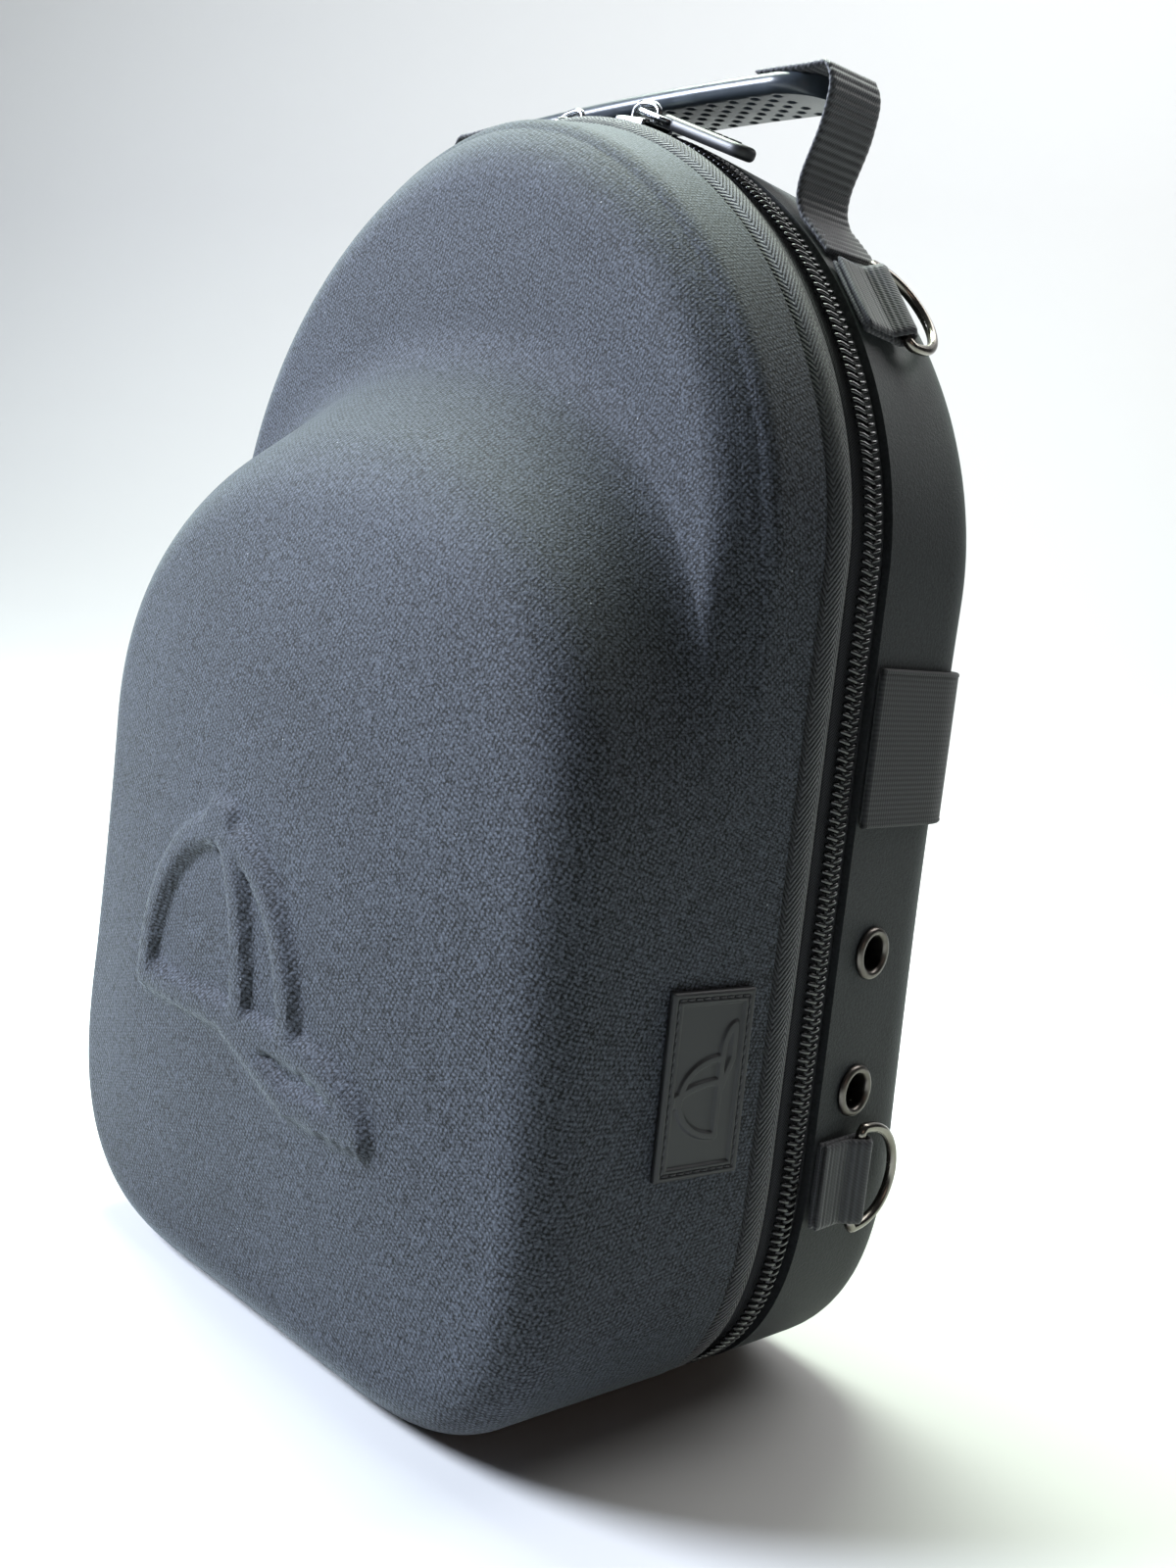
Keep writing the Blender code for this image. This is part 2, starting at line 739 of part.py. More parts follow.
def build_grip():
    """A bowed bar with rounded ends, lofted through sections that close in at the ends."""
    stations = GRIP_LENGTH / 2 * np.sin(np.linspace(-math.pi / 2, math.pi / 2, 15))
    section = grip_section()

    def build(bm):
        rows = []
        for x in stations:
            from_end = GRIP_LENGTH / 2 - abs(x)
            inside = GRIP_WIDTH * 0.45
            close = math.sqrt(max(1 - (1 - min(from_end / inside, 1)) ** 2, 0.12))
            rows.append(
                [
                    bm.verts.new((x, HANDLE_DEPTH + y * close, GRIP_UNDERSIDE + grip_rise(x) + z))
                    for y, z in section
                ]
            )
        for row, following in zip(rows[:-1], rows[1:]):
            for k in range(len(row)):
                after = (k + 1) % len(row)
                bm.faces.new((row[k], row[after], following[after], following[k]))
        bm.faces.new(rows[0][::-1])
        bm.faces.new(rows[-1])
        bmesh.ops.recalc_face_normals(bm, faces=bm.faces)

    rubber(add_mesh("handle_grip", build))


def tab_frame(side, height):
    """Place of a webbing tab at the seam: local X runs back along the wall, local Y out of it.

    A tab on the arch follows it. A tab on the side stands upright against the wall's widest part.
    """
    start = rim_depth_back()
    on_arch = height > ARCH_SPRING
    seat = height if on_arch else max(height + TAB_WIDTH / 2, CORNER_REACH)
    origin = wall_point(side, seat, start, BACK_DRAFT, 1)
    back = wall_point(side, seat, start + TAB_REACH, BACK_DRAFT, 1) - origin
    if on_arch:
        out = wall_frame(side, height, start, BACK_DRAFT, 1).to_3x3().col[2]
    else:
        out = Vector((side, 0, 0))
        back.z = 0
        origin.z = height
    back.normalize()
    out = (out - back * out.dot(back)).normalized()
    matrix = Matrix((back, out, back.cross(out))).transposed().to_4x4()
    matrix.translation = origin
    return matrix


def strap_path(side):
    """Middle line of one handle strap as points (x, z), foot on the shell to lap on the grip."""
    outline = half_outline()
    lengths = path_lengths(outline)
    tab = int(np.argmin(np.abs(outline[:, 1] - TAB_UPPER_HEIGHT)))
    foot_start = lengths[tab] + RING_INNER_WIDTH / 2 + RING_WIRE + RUNNING_GAP
    stops = foot_start + np.linspace(0, STRAP_FOOT_LENGTH, 4)
    draft = BACK_DRAFT * rim_depth_back()
    lift = STRAP_THICKNESS / 2 + GAP - draft
    foot = at_lengths(outline, stops)
    normals = np.stack(
        [np.interp(stops, lengths, outline_normals(outline)[:, k]) for k in range(2)], axis=1
    )
    foot = foot + normals * lift
    end = GRIP_LENGTH / 2
    above = GRIP_UNDERSIDE + GRIP_THICKNESS + GAP + STRAP_THICKNESS / 2
    waist = foot[-1] + [-STRAP_WAIST_RISE * 0.35, STRAP_WAIST_RISE]
    bulge = end + STRAP_END_BULGE
    turn = [waist, (bulge, GRIP_UNDERSIDE - GRIP_THICKNESS), (bulge, above)]
    lap = [(x, above + grip_rise(x)) for x in np.linspace(end, end - STRAP_TOP_LAP, 4)]
    reaches = [0, 0, 0, 0.003, 0.005, 0.008, 0.006, 0.001, 0.001, 0.001, 0]
    path = resampled(rounded(np.concatenate([foot, turn, lap]), reaches), 28)
    return path * [side, 1]


def build_handle_straps():
    for name, side in SIDES.items():
        matrix = Matrix.Translation((0, HANDLE_DEPTH, 0)) @ UPRIGHT
        webbing(add_ribbon(f"handle_strap_{name}", strap_path(side), STRAP_WIDTH, STRAP_THICKNESS, matrix=matrix))


def tab_path():
    """Folded webbing as points (back, out): up to the ring's bar, round it and back."""
    bar = TAB_REACH
    loop = RING_WIRE / 2 + RUNNING_GAP + TAB_THICKNESS / 2
    under = GAP + TAB_THICKNESS / 2
    middle = under + loop
    turn = [
        (bar + loop * math.sin(k / 8 * math.pi), middle - loop * math.cos(k / 8 * math.pi)) for k in range(9)
    ]
    over = under + TAB_THICKNESS + GAP
    start = GAP + RUNNING_GAP
    meet = bar - loop * 1.8
    return [(start, under), (meet, under)] + turn + [(meet, over), (start, over)]


def ring_bar_height():
    """Distance from the shell to the middle of a D-ring's bar."""
    return GAP + TAB_THICKNESS + RUNNING_GAP + RING_WIRE / 2


def ring_path():
    """Middle line of a D-ring as points (back, along): a straight bar and a round bow."""
    half = (RING_INNER_WIDTH + RING_WIRE) / 2
    depth = RING_INNER_DEPTH + RING_WIRE
    bow = [
        (depth * math.cos(angle) ** 0.8, half * math.sin(angle))
        for angle in np.linspace(-math.pi / 2, math.pi / 2, 11)[1:-1]
    ]
    corner = RING_WIRE * 0.4
    bar = [(corner, half), (0, half - corner), (0, corner - half), (corner, -half)]
    return bow + bar


def build_rings():
    heights = {"lower": TAB_LOWER_HEIGHT, "upper": TAB_UPPER_HEIGHT}
    for level, height in heights.items():
        for name, side in SIDES.items():
            frame = tab_frame(side, height)
            tab = add_ribbon(f"ring_tab_{level}_{name}", tab_path(), TAB_WIDTH, TAB_THICKNESS, matrix=frame)
            webbing(tab)
            bar = frame @ Matrix.Translation((TAB_REACH, ring_bar_height(), 0))
            points = [(back, 0, along) for back, along in ring_path()]
            ring = add_wire(f"ring_{level}_{name}", points, RING_WIRE, cyclic=True, matrix=bar)
            dark_metal(ring)


def build_band():
    """Elastic webbing from one side of the seam, round the back shell, to the other."""
    out = BAND_SEAT + BAND_THICKNESS / 2
    start = rim_depth_back() + RUNNING_GAP
    half = CASE_WIDTH / 2
    corners = [
        (half - BACK_DRAFT * start + out, start),
        (half - BACK_DRAFT * BACK_DEPTH + out, BACK_DEPTH + out),
        (0, BACK_DEPTH + out),
    ]
    right = spaced_by_bend(rounded(corners, [BACK_EDGE_REACH] * 3), 14)
    path = np.concatenate([right, right[::-1][1:] * [-1, 1]])
    matrix = Matrix.Translation((0, 0, BAND_HEIGHT))
    band = add_ribbon("elastic_band", path, BAND_WIDTH, BAND_THICKNESS, matrix=matrix)
    webbing(band)


def build_label():
    """A moulded rubber plate with a raised border, on the right side."""
    matrix = wall_frame(1, LABEL_HEIGHT, LABEL_DEPTH, SIDE_DRAFT, -1)

    def build(bm):
        bmesh.ops.create_cube(bm, size=1)
        bmesh.ops.scale(bm, vec=(LABEL_WIDTH, LABEL_LENGTH, LABEL_THICKNESS), verts=bm.verts)
        bmesh.ops.translate(bm, vec=(0, 0, LABEL_THICKNESS / 2 + GAP), verts=bm.verts)
        face = max(bm.faces, key=lambda candidate: candidate.calc_center_median().z)
        bmesh.ops.inset_region(bm, faces=[face], thickness=LABEL_BORDER)
        bmesh.ops.translate(bm, vec=(0, 0, -LABEL_THICKNESS * 0.4), verts=face.verts)

    rubber(add_mesh("side_label", build, matrix))


def clear_scene():
    for obj in list(bpy.data.objects):
        bpy.data.objects.remove(obj)


def overall_middle():
    """Depth of the middle between the face's foremost point and the band's back."""
    front = -(FRONT_DEPTH + FACE_BULGE)
    back = BACK_DEPTH + BAND_SEAT + BAND_THICKNESS
    return (front + back) / 2


def main():
    clear_scene()
    for name in ("cap_case", "cutters"):
        collection = bpy.data.collections.new(name)
        bpy.context.scene.collection.children.link(collection)
    origin = bpy.data.objects.new("case_origin", None)
    bpy.data.collections["cap_case"].objects.link(origin)
    origin.location = (0, -overall_middle(), 0)
    build_front_shell()
    build_back_shell()
    build_piping()
    build_zip()
    build_sliders()
    build_grip()
    build_handle_straps()
    build_rings()
    build_band()
    build_eyelets()
    build_label()


main()
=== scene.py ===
"""A moulded carrying case for a baseball cap: knit-covered shells, coil zip, webbing, rings and handle."""

import math

import bmesh
import bpy
import numpy as np
from mathutils import Matrix, Vector


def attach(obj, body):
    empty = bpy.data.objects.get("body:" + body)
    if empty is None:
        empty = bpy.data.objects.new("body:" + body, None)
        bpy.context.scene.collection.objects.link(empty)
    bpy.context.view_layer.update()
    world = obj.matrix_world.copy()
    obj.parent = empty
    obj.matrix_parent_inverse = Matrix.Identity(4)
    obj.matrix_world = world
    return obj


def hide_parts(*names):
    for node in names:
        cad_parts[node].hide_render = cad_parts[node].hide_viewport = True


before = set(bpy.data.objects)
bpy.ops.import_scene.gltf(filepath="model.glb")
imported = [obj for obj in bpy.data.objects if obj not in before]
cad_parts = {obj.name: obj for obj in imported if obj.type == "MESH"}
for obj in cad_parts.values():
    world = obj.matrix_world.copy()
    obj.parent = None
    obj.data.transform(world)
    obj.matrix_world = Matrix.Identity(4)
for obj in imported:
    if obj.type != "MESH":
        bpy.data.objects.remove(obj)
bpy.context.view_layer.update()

bl_info = {
    "name": "Cap case",
    "version": (1, 0, 0),
    "blender": (4, 5, 0),
    "location": "3D View > Sidebar > Cap case",
    "description": "Builds the pieces, finishes and studio of a moulded cap case",
    "category": "Add Mesh",
}

MM = 0.001

# Outline of the case in the seam plane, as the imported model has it
CASE_WIDTH = 0.210
CASE_HEIGHT = 0.300
ARCH_SPRING = 0.196
ARCH_FULLNESS = 1.87
CORNER_REACH = 0.070
CORNER_FULLNESS = 2.8

# Front shell
SHELL_WALL = 0.004
FRONT_DEPTH = 0.071
FACE_BULGE = 0.008
BRIM_DEPTH = 0.037
SIDE_DRAFT = 0.115
TOP_DRAFT = 0.200
CROWN_CENTRE = 0.136
CROWN_FOOT_TOP = 0.237
CROWN_FACE_TOP = 0.210
CROWN_FULLNESS = 2.2
BRIM_EDGE_REACH = 0.018
CROWN_FOOT_REACH = 0.009
CROWN_EDGE_REACH = 0.013

# Back shell
BACK_DEPTH = 0.045
BACK_DRAFT = 0.090
BACK_EDGE_REACH = 0.014

# Clearances between neighbours
GAP = 0.0003
RUNNING_GAP = 0.0005

# Seam, zip and pulls
PIPING_DIAMETER = 0.0084
FRONT_RIM_GAP = 0.0006
TAPE_FRONT = 0.0050
TAPE_BACK = 0.0057
TAPE_THICKNESS = 0.0010
TAPE_SINK = 0.0027
CHAIN_WIDTH = 0.0068
CHAIN_THICKNESS = 0.0017
ZIP_STOP_X = 0.040
SLIDER_X = {"left": -0.009, "right": 0.018}
SLIDER_LENGTH = 0.011
SLIDER_WALL = 0.0011
SLIDER_CHAIN_GAP = 0.0006
BRIDGE_HEIGHT = 0.0048
BRIDGE_SPAN = 0.0088
BRIDGE_WIRE = 0.0017
PULL_AXIS_HEIGHT = 0.0019
LINK_WIRE = 0.0015
LINK_LENGTH = 0.0105
LINK_WIDTH = 0.0062
PULL_TAB_LENGTH = 0.031
PULL_TAB_WIDTH = 0.0075
PULL_TAB_THICKNESS = 0.0032
PULL_NECK_LENGTH = 0.0036

# Handle
HANDLE_DEPTH = 0.0165
GRIP_LENGTH = 0.124
GRIP_WIDTH = 0.022
GRIP_THICKNESS = 0.0048
GRIP_UNDERSIDE = 0.3025
GRIP_RISE = 0.0016
STRAP_WIDTH = 0.018
STRAP_THICKNESS = 0.0013
STRAP_FOOT_LENGTH = 0.013
STRAP_WAIST_RISE = 0.006
STRAP_END_BULGE = 0.0075
STRAP_TOP_LAP = 0.016

# D-rings and their tabs, elastic band, eyelets, label
TAB_WIDTH = 0.020
TAB_THICKNESS = 0.0012
TAB_HEIGHTS = {"lower": 0.060, "upper": 0.256}
TAB_REACH = 0.0135
RING_WIRE = 0.0024
RING_INNER_WIDTH = 0.0214
RING_INNER_DEPTH = 0.0125
BAND_WIDTH = 0.035
BAND_THICKNESS = 0.0012
BAND_HEIGHT = 0.159
BAND_SEAT = 0.0006
EYELET_HEIGHTS = {"upper": 0.112, "lower": 0.0795}
EYELET_DEPTH = 0.0185
EYELET_HOLE = 0.0080
EYELET_OUTER = 0.0122
EYELET_BARREL_WALL = 0.0007
EYELET_RISE = 0.0012
LABEL_LENGTH = 0.040
LABEL_WIDTH = 0.0222
LABEL_THICKNESS = 0.0018
LABEL_HEIGHT = 0.0865
LABEL_DEPTH = 0.031

# The seam plane lies this far behind the middle of the model
SEAM_Y = 0.0161
SIDES = {"left": -1, "right": 1}

# Relief of the webbing's ribs, and width of the front sign's shoulders
STRAP_RIB = 0.00034
TAB_RIB = 0.0002
SIGN_SHOULDER = 0.0024

# Steps in a finely divided path, and the least angle that shows as a sharp edge
FINE = 480
SHARP_ANGLE = math.radians(40)


def linear(value):
    """An sRGB hex colour as linear RGBA."""
    values = [int(value[k : k + 2], 16) / 255 for k in (1, 3, 5)]
    return (*(v / 12.92 if v <= 0.04045 else ((v + 0.055) / 1.055) ** 2.4 for v in values), 1.0)


def smooth_share(value):
    share = np.clip(value, 0, 1)
    return share * share * (3 - 2 * share)


def path_lengths(points):
    steps = np.linalg.norm(np.diff(points, axis=0), axis=1)
    return np.concatenate([[0], np.cumsum(steps)])


def at_lengths(points, lengths):
    along = path_lengths(points)
    return np.stack([np.interp(lengths, along, points[:, k]) for k in range(points.shape[1])], axis=1)


def resampled(points, steps):
    return at_lengths(points, np.linspace(0, path_lengths(points)[-1], steps + 1))


def rounded(corners, reaches, steps=FINE):
    """The path through the corners, each rounded off over its own reach on both sides."""
    corners = np.asarray(corners, float)
    stations = path_lengths(corners)
    total = stations[-1]
    along = np.linspace(0, total, steps + 1)
    reach = np.interp(along, stations, reaches)
    reach = np.minimum(np.minimum(reach, along), total - along)
    dense = at_lengths(corners, along)
    halves = (dense[1:] + dense[:-1]) / 2 * (total / steps)
    sums = np.concatenate([[[0] * corners.shape[1]], np.cumsum(halves, axis=0)])
    result = dense.copy()
    inside = reach > total / steps
    for k in range(corners.shape[1]):
        after = np.interp(along + reach, along, sums[:, k])
        before = np.interp(along - reach, along, sums[:, k])
        result[inside, k] = ((after - before)[inside]) / (2 * reach[inside])
    return result


def half_outline():
    """Right half of the case's outline as dense points (x, z), bottom centre to top centre."""
    half = CASE_WIDTH / 2
    turn = np.linspace(0, math.pi / 2, FINE)
    sine, cosine = np.sin(turn), np.cos(turn).clip(0)
    corner = np.stack(
        [
            half - CORNER_REACH + CORNER_REACH * sine ** (2 / CORNER_FULLNESS),
            CORNER_REACH - CORNER_REACH * cosine ** (2 / CORNER_FULLNESS),
        ],
        axis=1,
    )
    arch = np.stack(
        [
            half * cosine ** (2 / ARCH_FULLNESS),
            ARCH_SPRING + (CASE_HEIGHT - ARCH_SPRING) * sine ** (2 / ARCH_FULLNESS),
        ],
        axis=1,
    )
    return np.concatenate([[[0, 0]], corner, arch])


def outline_normals(points, closed=False):
    if closed:
        along = np.roll(points, -1, axis=0) - np.roll(points, 1, axis=0)
    else:
        along = np.gradient(points, axis=0)
    normals = np.stack([along[:, 1], -along[:, 0]], axis=1)
    return normals / np.linalg.norm(normals, axis=1)[:, None]


def whole_outline(inset, steps):
    """The closed outline, moved inwards by inset, as points (x, z) from the bottom centre."""
    right = half_outline()
    points = resampled(np.concatenate([right, right[::-1][1:] * [-1, 1]]), steps)[:-1]
    return points - outline_normals(points, closed=True) * inset


def zip_path(inset, steps):
    """The outline from one zip stop over the top to the other, moved inwards by inset."""
    right = half_outline()
    stop = int(np.argmax(right[:, 0] > ZIP_STOP_X))
    right = np.concatenate([[[ZIP_STOP_X, 0]], right[stop:]])
    points = resampled(np.concatenate([right, right[::-1][1:] * [-1, 1]]), steps)
    return points - outline_normals(points) * inset


def outline_place(side, x=None, z=None):
    """(point, outward normal) of the outline's upper half at this x, or of its side at this z."""
    points = half_outline()
    columns = np.concatenate([points, outline_normals(points)], axis=1)
    if z is None:
        upper = columns[points[:, 1] > ARCH_SPRING]
        upper = upper[np.argsort(upper[:, 0])]
        found = [np.interp(abs(x), upper[:, 0], upper[:, k]) for k in range(4)]
    else:
        found = [np.interp(z, columns[:, 1], columns[:, k]) for k in range(4)]
    return Vector((side * found[0], 0, found[1])), Vector((side * found[2], 0, found[3])).normalized()


def draft_share(height):
    return smooth_share(height / CORNER_REACH)


def crown_radius(across, up, half_width, height):
    share = (across / half_width) ** CROWN_FULLNESS + (up / height) ** CROWN_FULLNESS
    return share ** (-1 / CROWN_FULLNESS)


def rim_depth_front():
    return TAPE_FRONT + GAP + PIPING_DIAMETER + FRONT_RIM_GAP


def rim_depth_back():
    return TAPE_BACK + GAP


def front_profile(rim, direction):
    """One section of the front shell's surface, rim to centre, as points (distance, depth)."""
    radius = np.linalg.norm(rim - [0, CROWN_CENTRE])
    across, up = abs(direction[0]), direction[1]
    draft = (SIDE_DRAFT + (TOP_DRAFT - SIDE_DRAFT) * max(up, 0) ** 2) * draft_share(rim[1])
    edge = radius - draft * BRIM_DEPTH
    face = radius - draft * FRONT_DEPTH
    foot = edge
    if up > 0:
        half = CASE_WIDTH / 2
        foot_height = CROWN_FOOT_TOP - CROWN_CENTRE
        face_height = CROWN_FACE_TOP - CROWN_CENTRE
        foot = min(edge, crown_radius(across, up, half - SIDE_DRAFT * BRIM_DEPTH, foot_height))
        face = min(face, crown_radius(across, up, half - SIDE_DRAFT * FRONT_DEPTH, face_height))
    start = rim_depth_front()
    corners = [(radius - draft * start, start), (edge, BRIM_DEPTH), (foot, BRIM_DEPTH), (face, FRONT_DEPTH)]
    inward = np.linspace(1, 0, 24)[1:]
    bulge = [(face * share, FRONT_DEPTH + FACE_BULGE * (1 - share**2)) for share in inward]
    reaches = [BRIM_EDGE_REACH, BRIM_EDGE_REACH, CROWN_FOOT_REACH, CROWN_EDGE_REACH]
    return rounded(corners + bulge, reaches + [CROWN_EDGE_REACH] * len(bulge))


def back_profile(rim, direction):
    """One section of the back shell's surface, rim to centre, as points (distance, depth)."""
    radius = np.linalg.norm(rim - [0, CROWN_CENTRE])
    draft = BACK_DRAFT * draft_share(rim[1])
    start = rim_depth_back()
    corners = [(radius - draft * start, start), (radius - draft * BACK_DEPTH, BACK_DEPTH), (0, BACK_DEPTH)]
    return rounded(corners, [BACK_EDGE_REACH] * 3)


def wall_point(side, height, depth, draft, sign):
    """A point of a shell's outer wall, this far from the seam plane."""
    centre = Vector((0, 0, CROWN_CENTRE))
    rim, _ = outline_place(side, z=height)
    spoke = rim - centre
    radius = spoke.length - draft * float(draft_share(height)) * depth
    return centre + spoke.normalized() * radius + Vector((0, sign * depth, 0))


def wall_frame(side, height, depth, draft, sign):
    """A place on a shell's wall: local Z points out of it, local Y along the seam and mostly up."""
    origin = wall_point(side, height, depth, draft, sign)
    step = 0.001
    along = wall_point(side, height + step, depth, draft, sign) - origin
    deeper = wall_point(side, height, depth + step, draft, sign) - origin
    out = (along.cross(deeper) * side * -sign).normalized()
    along = (along - out * along.dot(out)).normalized()
    matrix = Matrix((along.cross(out), along, out)).transposed().to_4x4()
    matrix.translation = origin
    return matrix


def to_world(matrix=Matrix()):
    """A place counted from the seam plane, in the model's own coordinates."""
    return Matrix.Translation((0, SEAM_Y, 0)) @ matrix


UPRIGHT = Matrix.Rotation(math.pi / 2, 4, "X")


def add_object(name, mesh, matrix=Matrix()):
    obj = bpy.data.objects.new(name, mesh)
    bpy.context.scene.collection.objects.link(obj)
    obj.matrix_world = to_world(matrix)
    return obj


def surface(name, points, along, across, matrix=Matrix(), close_along=False, close_across=False, caps=False):
    """A mesh from rows of points, with a UV map that holds metres along and across the rows."""
    rows, columns = points.shape[:2]
    wide_rows = rows if close_along else rows - 1
    wide_columns = columns if close_across else columns - 1
    r, c = np.meshgrid(np.arange(wide_rows), np.arange(wide_columns), indexing="ij")
    r, c = r.ravel(), c.ravel()
    corners = np.stack([[r, c], [r + 1, c], [r + 1, c + 1], [r, c + 1]], axis=-1)
    vertices = (corners[0] % rows) * columns + corners[1] % columns
    faces = vertices.tolist()
    uvs = np.stack([along[corners[0]], across[corners[1]]], axis=-1).reshape(-1, 2)
    if caps:
        first = [k for k in range(columns)]
        last = [(rows - 1) * columns + k for k in range(columns)]
        faces += [first, last[::-1]]
        uvs = np.concatenate([uvs, [[along[0], across[k]] for k in range(columns)]])
        uvs = np.concatenate([uvs, [[along[-1], across[k]] for k in reversed(range(columns))]])
    mesh = bpy.data.meshes.new(name)
    mesh.from_pydata(points.reshape(-1, 3).tolist(), [], faces)
    layer = mesh.uv_layers.new(name="seam")
    layer.data.foreach_set("uv", uvs.ravel())
    mesh.validate()
    mesh.shade_smooth()
    return add_object(name, mesh, matrix)


def outward(obj):
    """Turns an object's faces to the outside."""
    bm = bmesh.new()
    bm.from_mesh(obj.data)
    bmesh.ops.recalc_face_normals(bm, faces=bm.faces)
    bm.to_mesh(obj.data)
    bm.free()
    return obj


def sweep(name, path, section, matrix=Matrix(), closed=False, side=None):
    """A closed section carried along a path of 3-D points, local X of the section along side."""
    path = np.asarray(path, float)
    if closed:
        along = np.roll(path, -1, axis=0) - np.roll(path, 1, axis=0)
        lengths = path_lengths(np.concatenate([path, path[:1]]))
    else:
        along = np.gradient(path, axis=0)
        lengths = path_lengths(path)
    along /= np.linalg.norm(along, axis=1)[:, None]
    side = np.array([0.0, 0.0, 1.0] if side is None else side, float)
    up = np.cross(np.tile(side, (len(path), 1)), along)
    up /= np.linalg.norm(up, axis=1)[:, None]
    across = np.cross(along, up)
    section = np.asarray(section, float)
    points = path[:, None] + section[None, :, 0, None] * across[:, None] + section[None, :, 1, None] * up[:, None]
    around = path_lengths(np.concatenate([section, section[:1]]))
    obj = surface(name, points, lengths, around, matrix, closed, True, caps=not closed)
    return outward(obj)


def circle(radius, sides):
    return [(radius * math.cos(k / sides * math.tau), radius * math.sin(k / sides * math.tau)) for k in range(sides)]


def join(name, objects):
    """One object from several."""
    bm = bmesh.new()
    for obj in objects:
        mesh = obj.data.copy()
        mesh.transform(obj.matrix_world)
        bm.from_mesh(mesh)
        bpy.data.meshes.remove(mesh)
    joined = bpy.data.meshes.new(name)
    bm.to_mesh(joined)
    bm.free()
    for obj in objects:
        bpy.data.objects.remove(obj)
    made = bpy.data.objects.new(name, joined)
    bpy.context.scene.collection.objects.link(made)
    return made


def dress(obj, material, body, replaces=()):
    """Gives a piece its finish, the body that it rides on and the nodes that it stands for."""
    obj.data.materials.clear()
    obj.data.materials.append(material)
    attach(obj, body)
    if replaces:
        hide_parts(*replaces)


def add_node(tree, kind, inputs=None, **settings):
    """A shader node with its settings, and its sockets set or linked."""
    made = tree.nodes.new(kind)
    for name, value in settings.items():
        setattr(made, name, value)
    for socket, value in (inputs or {}).items():
        if isinstance(value, bpy.types.NodeSocket):
            tree.links.new(value, made.inputs[socket])
        else:
            made.inputs[socket].default_value = value
    return made


def start_material(name, **sockets):
    """A new material, its node tree and its shader."""
    material = bpy.data.materials.new(name)
    material.use_nodes = True
    tree = material.node_tree
    shader = tree.nodes["Principled BSDF"]
    for socket, value in sockets.items():
        shader.inputs[socket.replace("_", " ")].default_value = value
    return material, tree, shader


def blend_colors(tree, share, first, second):
    """The colour between two by a share."""
    mix = add_node(tree, "ShaderNodeMix", {0: share}, data_type="RGBA")
    for socket, value in ((6, first), (7, second)):
        if isinstance(value, bpy.types.NodeSocket):
            tree.links.new(value, mix.inputs[socket])
        else:
            mix.inputs[socket].default_value = value
    return mix.outputs[2]


def calculate(tree, operation, *values, clamp=False):
    """A chain link of arithmetic on sockets or numbers."""
    made = add_node(tree, "ShaderNodeMath", dict(enumerate(values)), operation=operation, use_clamp=clamp)
    return made.outputs[0]


def seam_coordinates(tree):
    """Metres along and across a piece, from its UV map."""
    uv = add_node(tree, "ShaderNodeUVMap", uv_map="seam")
    split = add_node(tree, "ShaderNodeSeparateXYZ", {0: uv.outputs[0]})
    return uv.outputs[0], split.outputs[0], split.outputs[1]


def wave(tree, value, pitch):
    """0 to 1 and back over each pitch."""
    turns = calculate(tree, "MULTIPLY", value, math.tau / pitch)
    return calculate(tree, "MULTIPLY_ADD", calculate(tree, "SINE", turns), 0.5, 0.5)


def roughen(tree, shader, height, distance, strength=1.0):
    """Bump from a height of 0 to 1, this deep in metres."""
    bump = add_node(tree, "ShaderNodeBump", {"Height": height, "Distance": distance, "Strength": strength})
    tree.links.new(bump.outputs[0], shader.inputs["Normal"])


def noise(tree, vector, size, detail=2.0, roughness=0.5):
    """Noise with features of about this size in metres."""
    sockets = {"Vector": vector, "Scale": 1 / size, "Detail": detail, "Roughness": roughness}
    return add_node(tree, "ShaderNodeTexNoise", sockets).outputs[0]


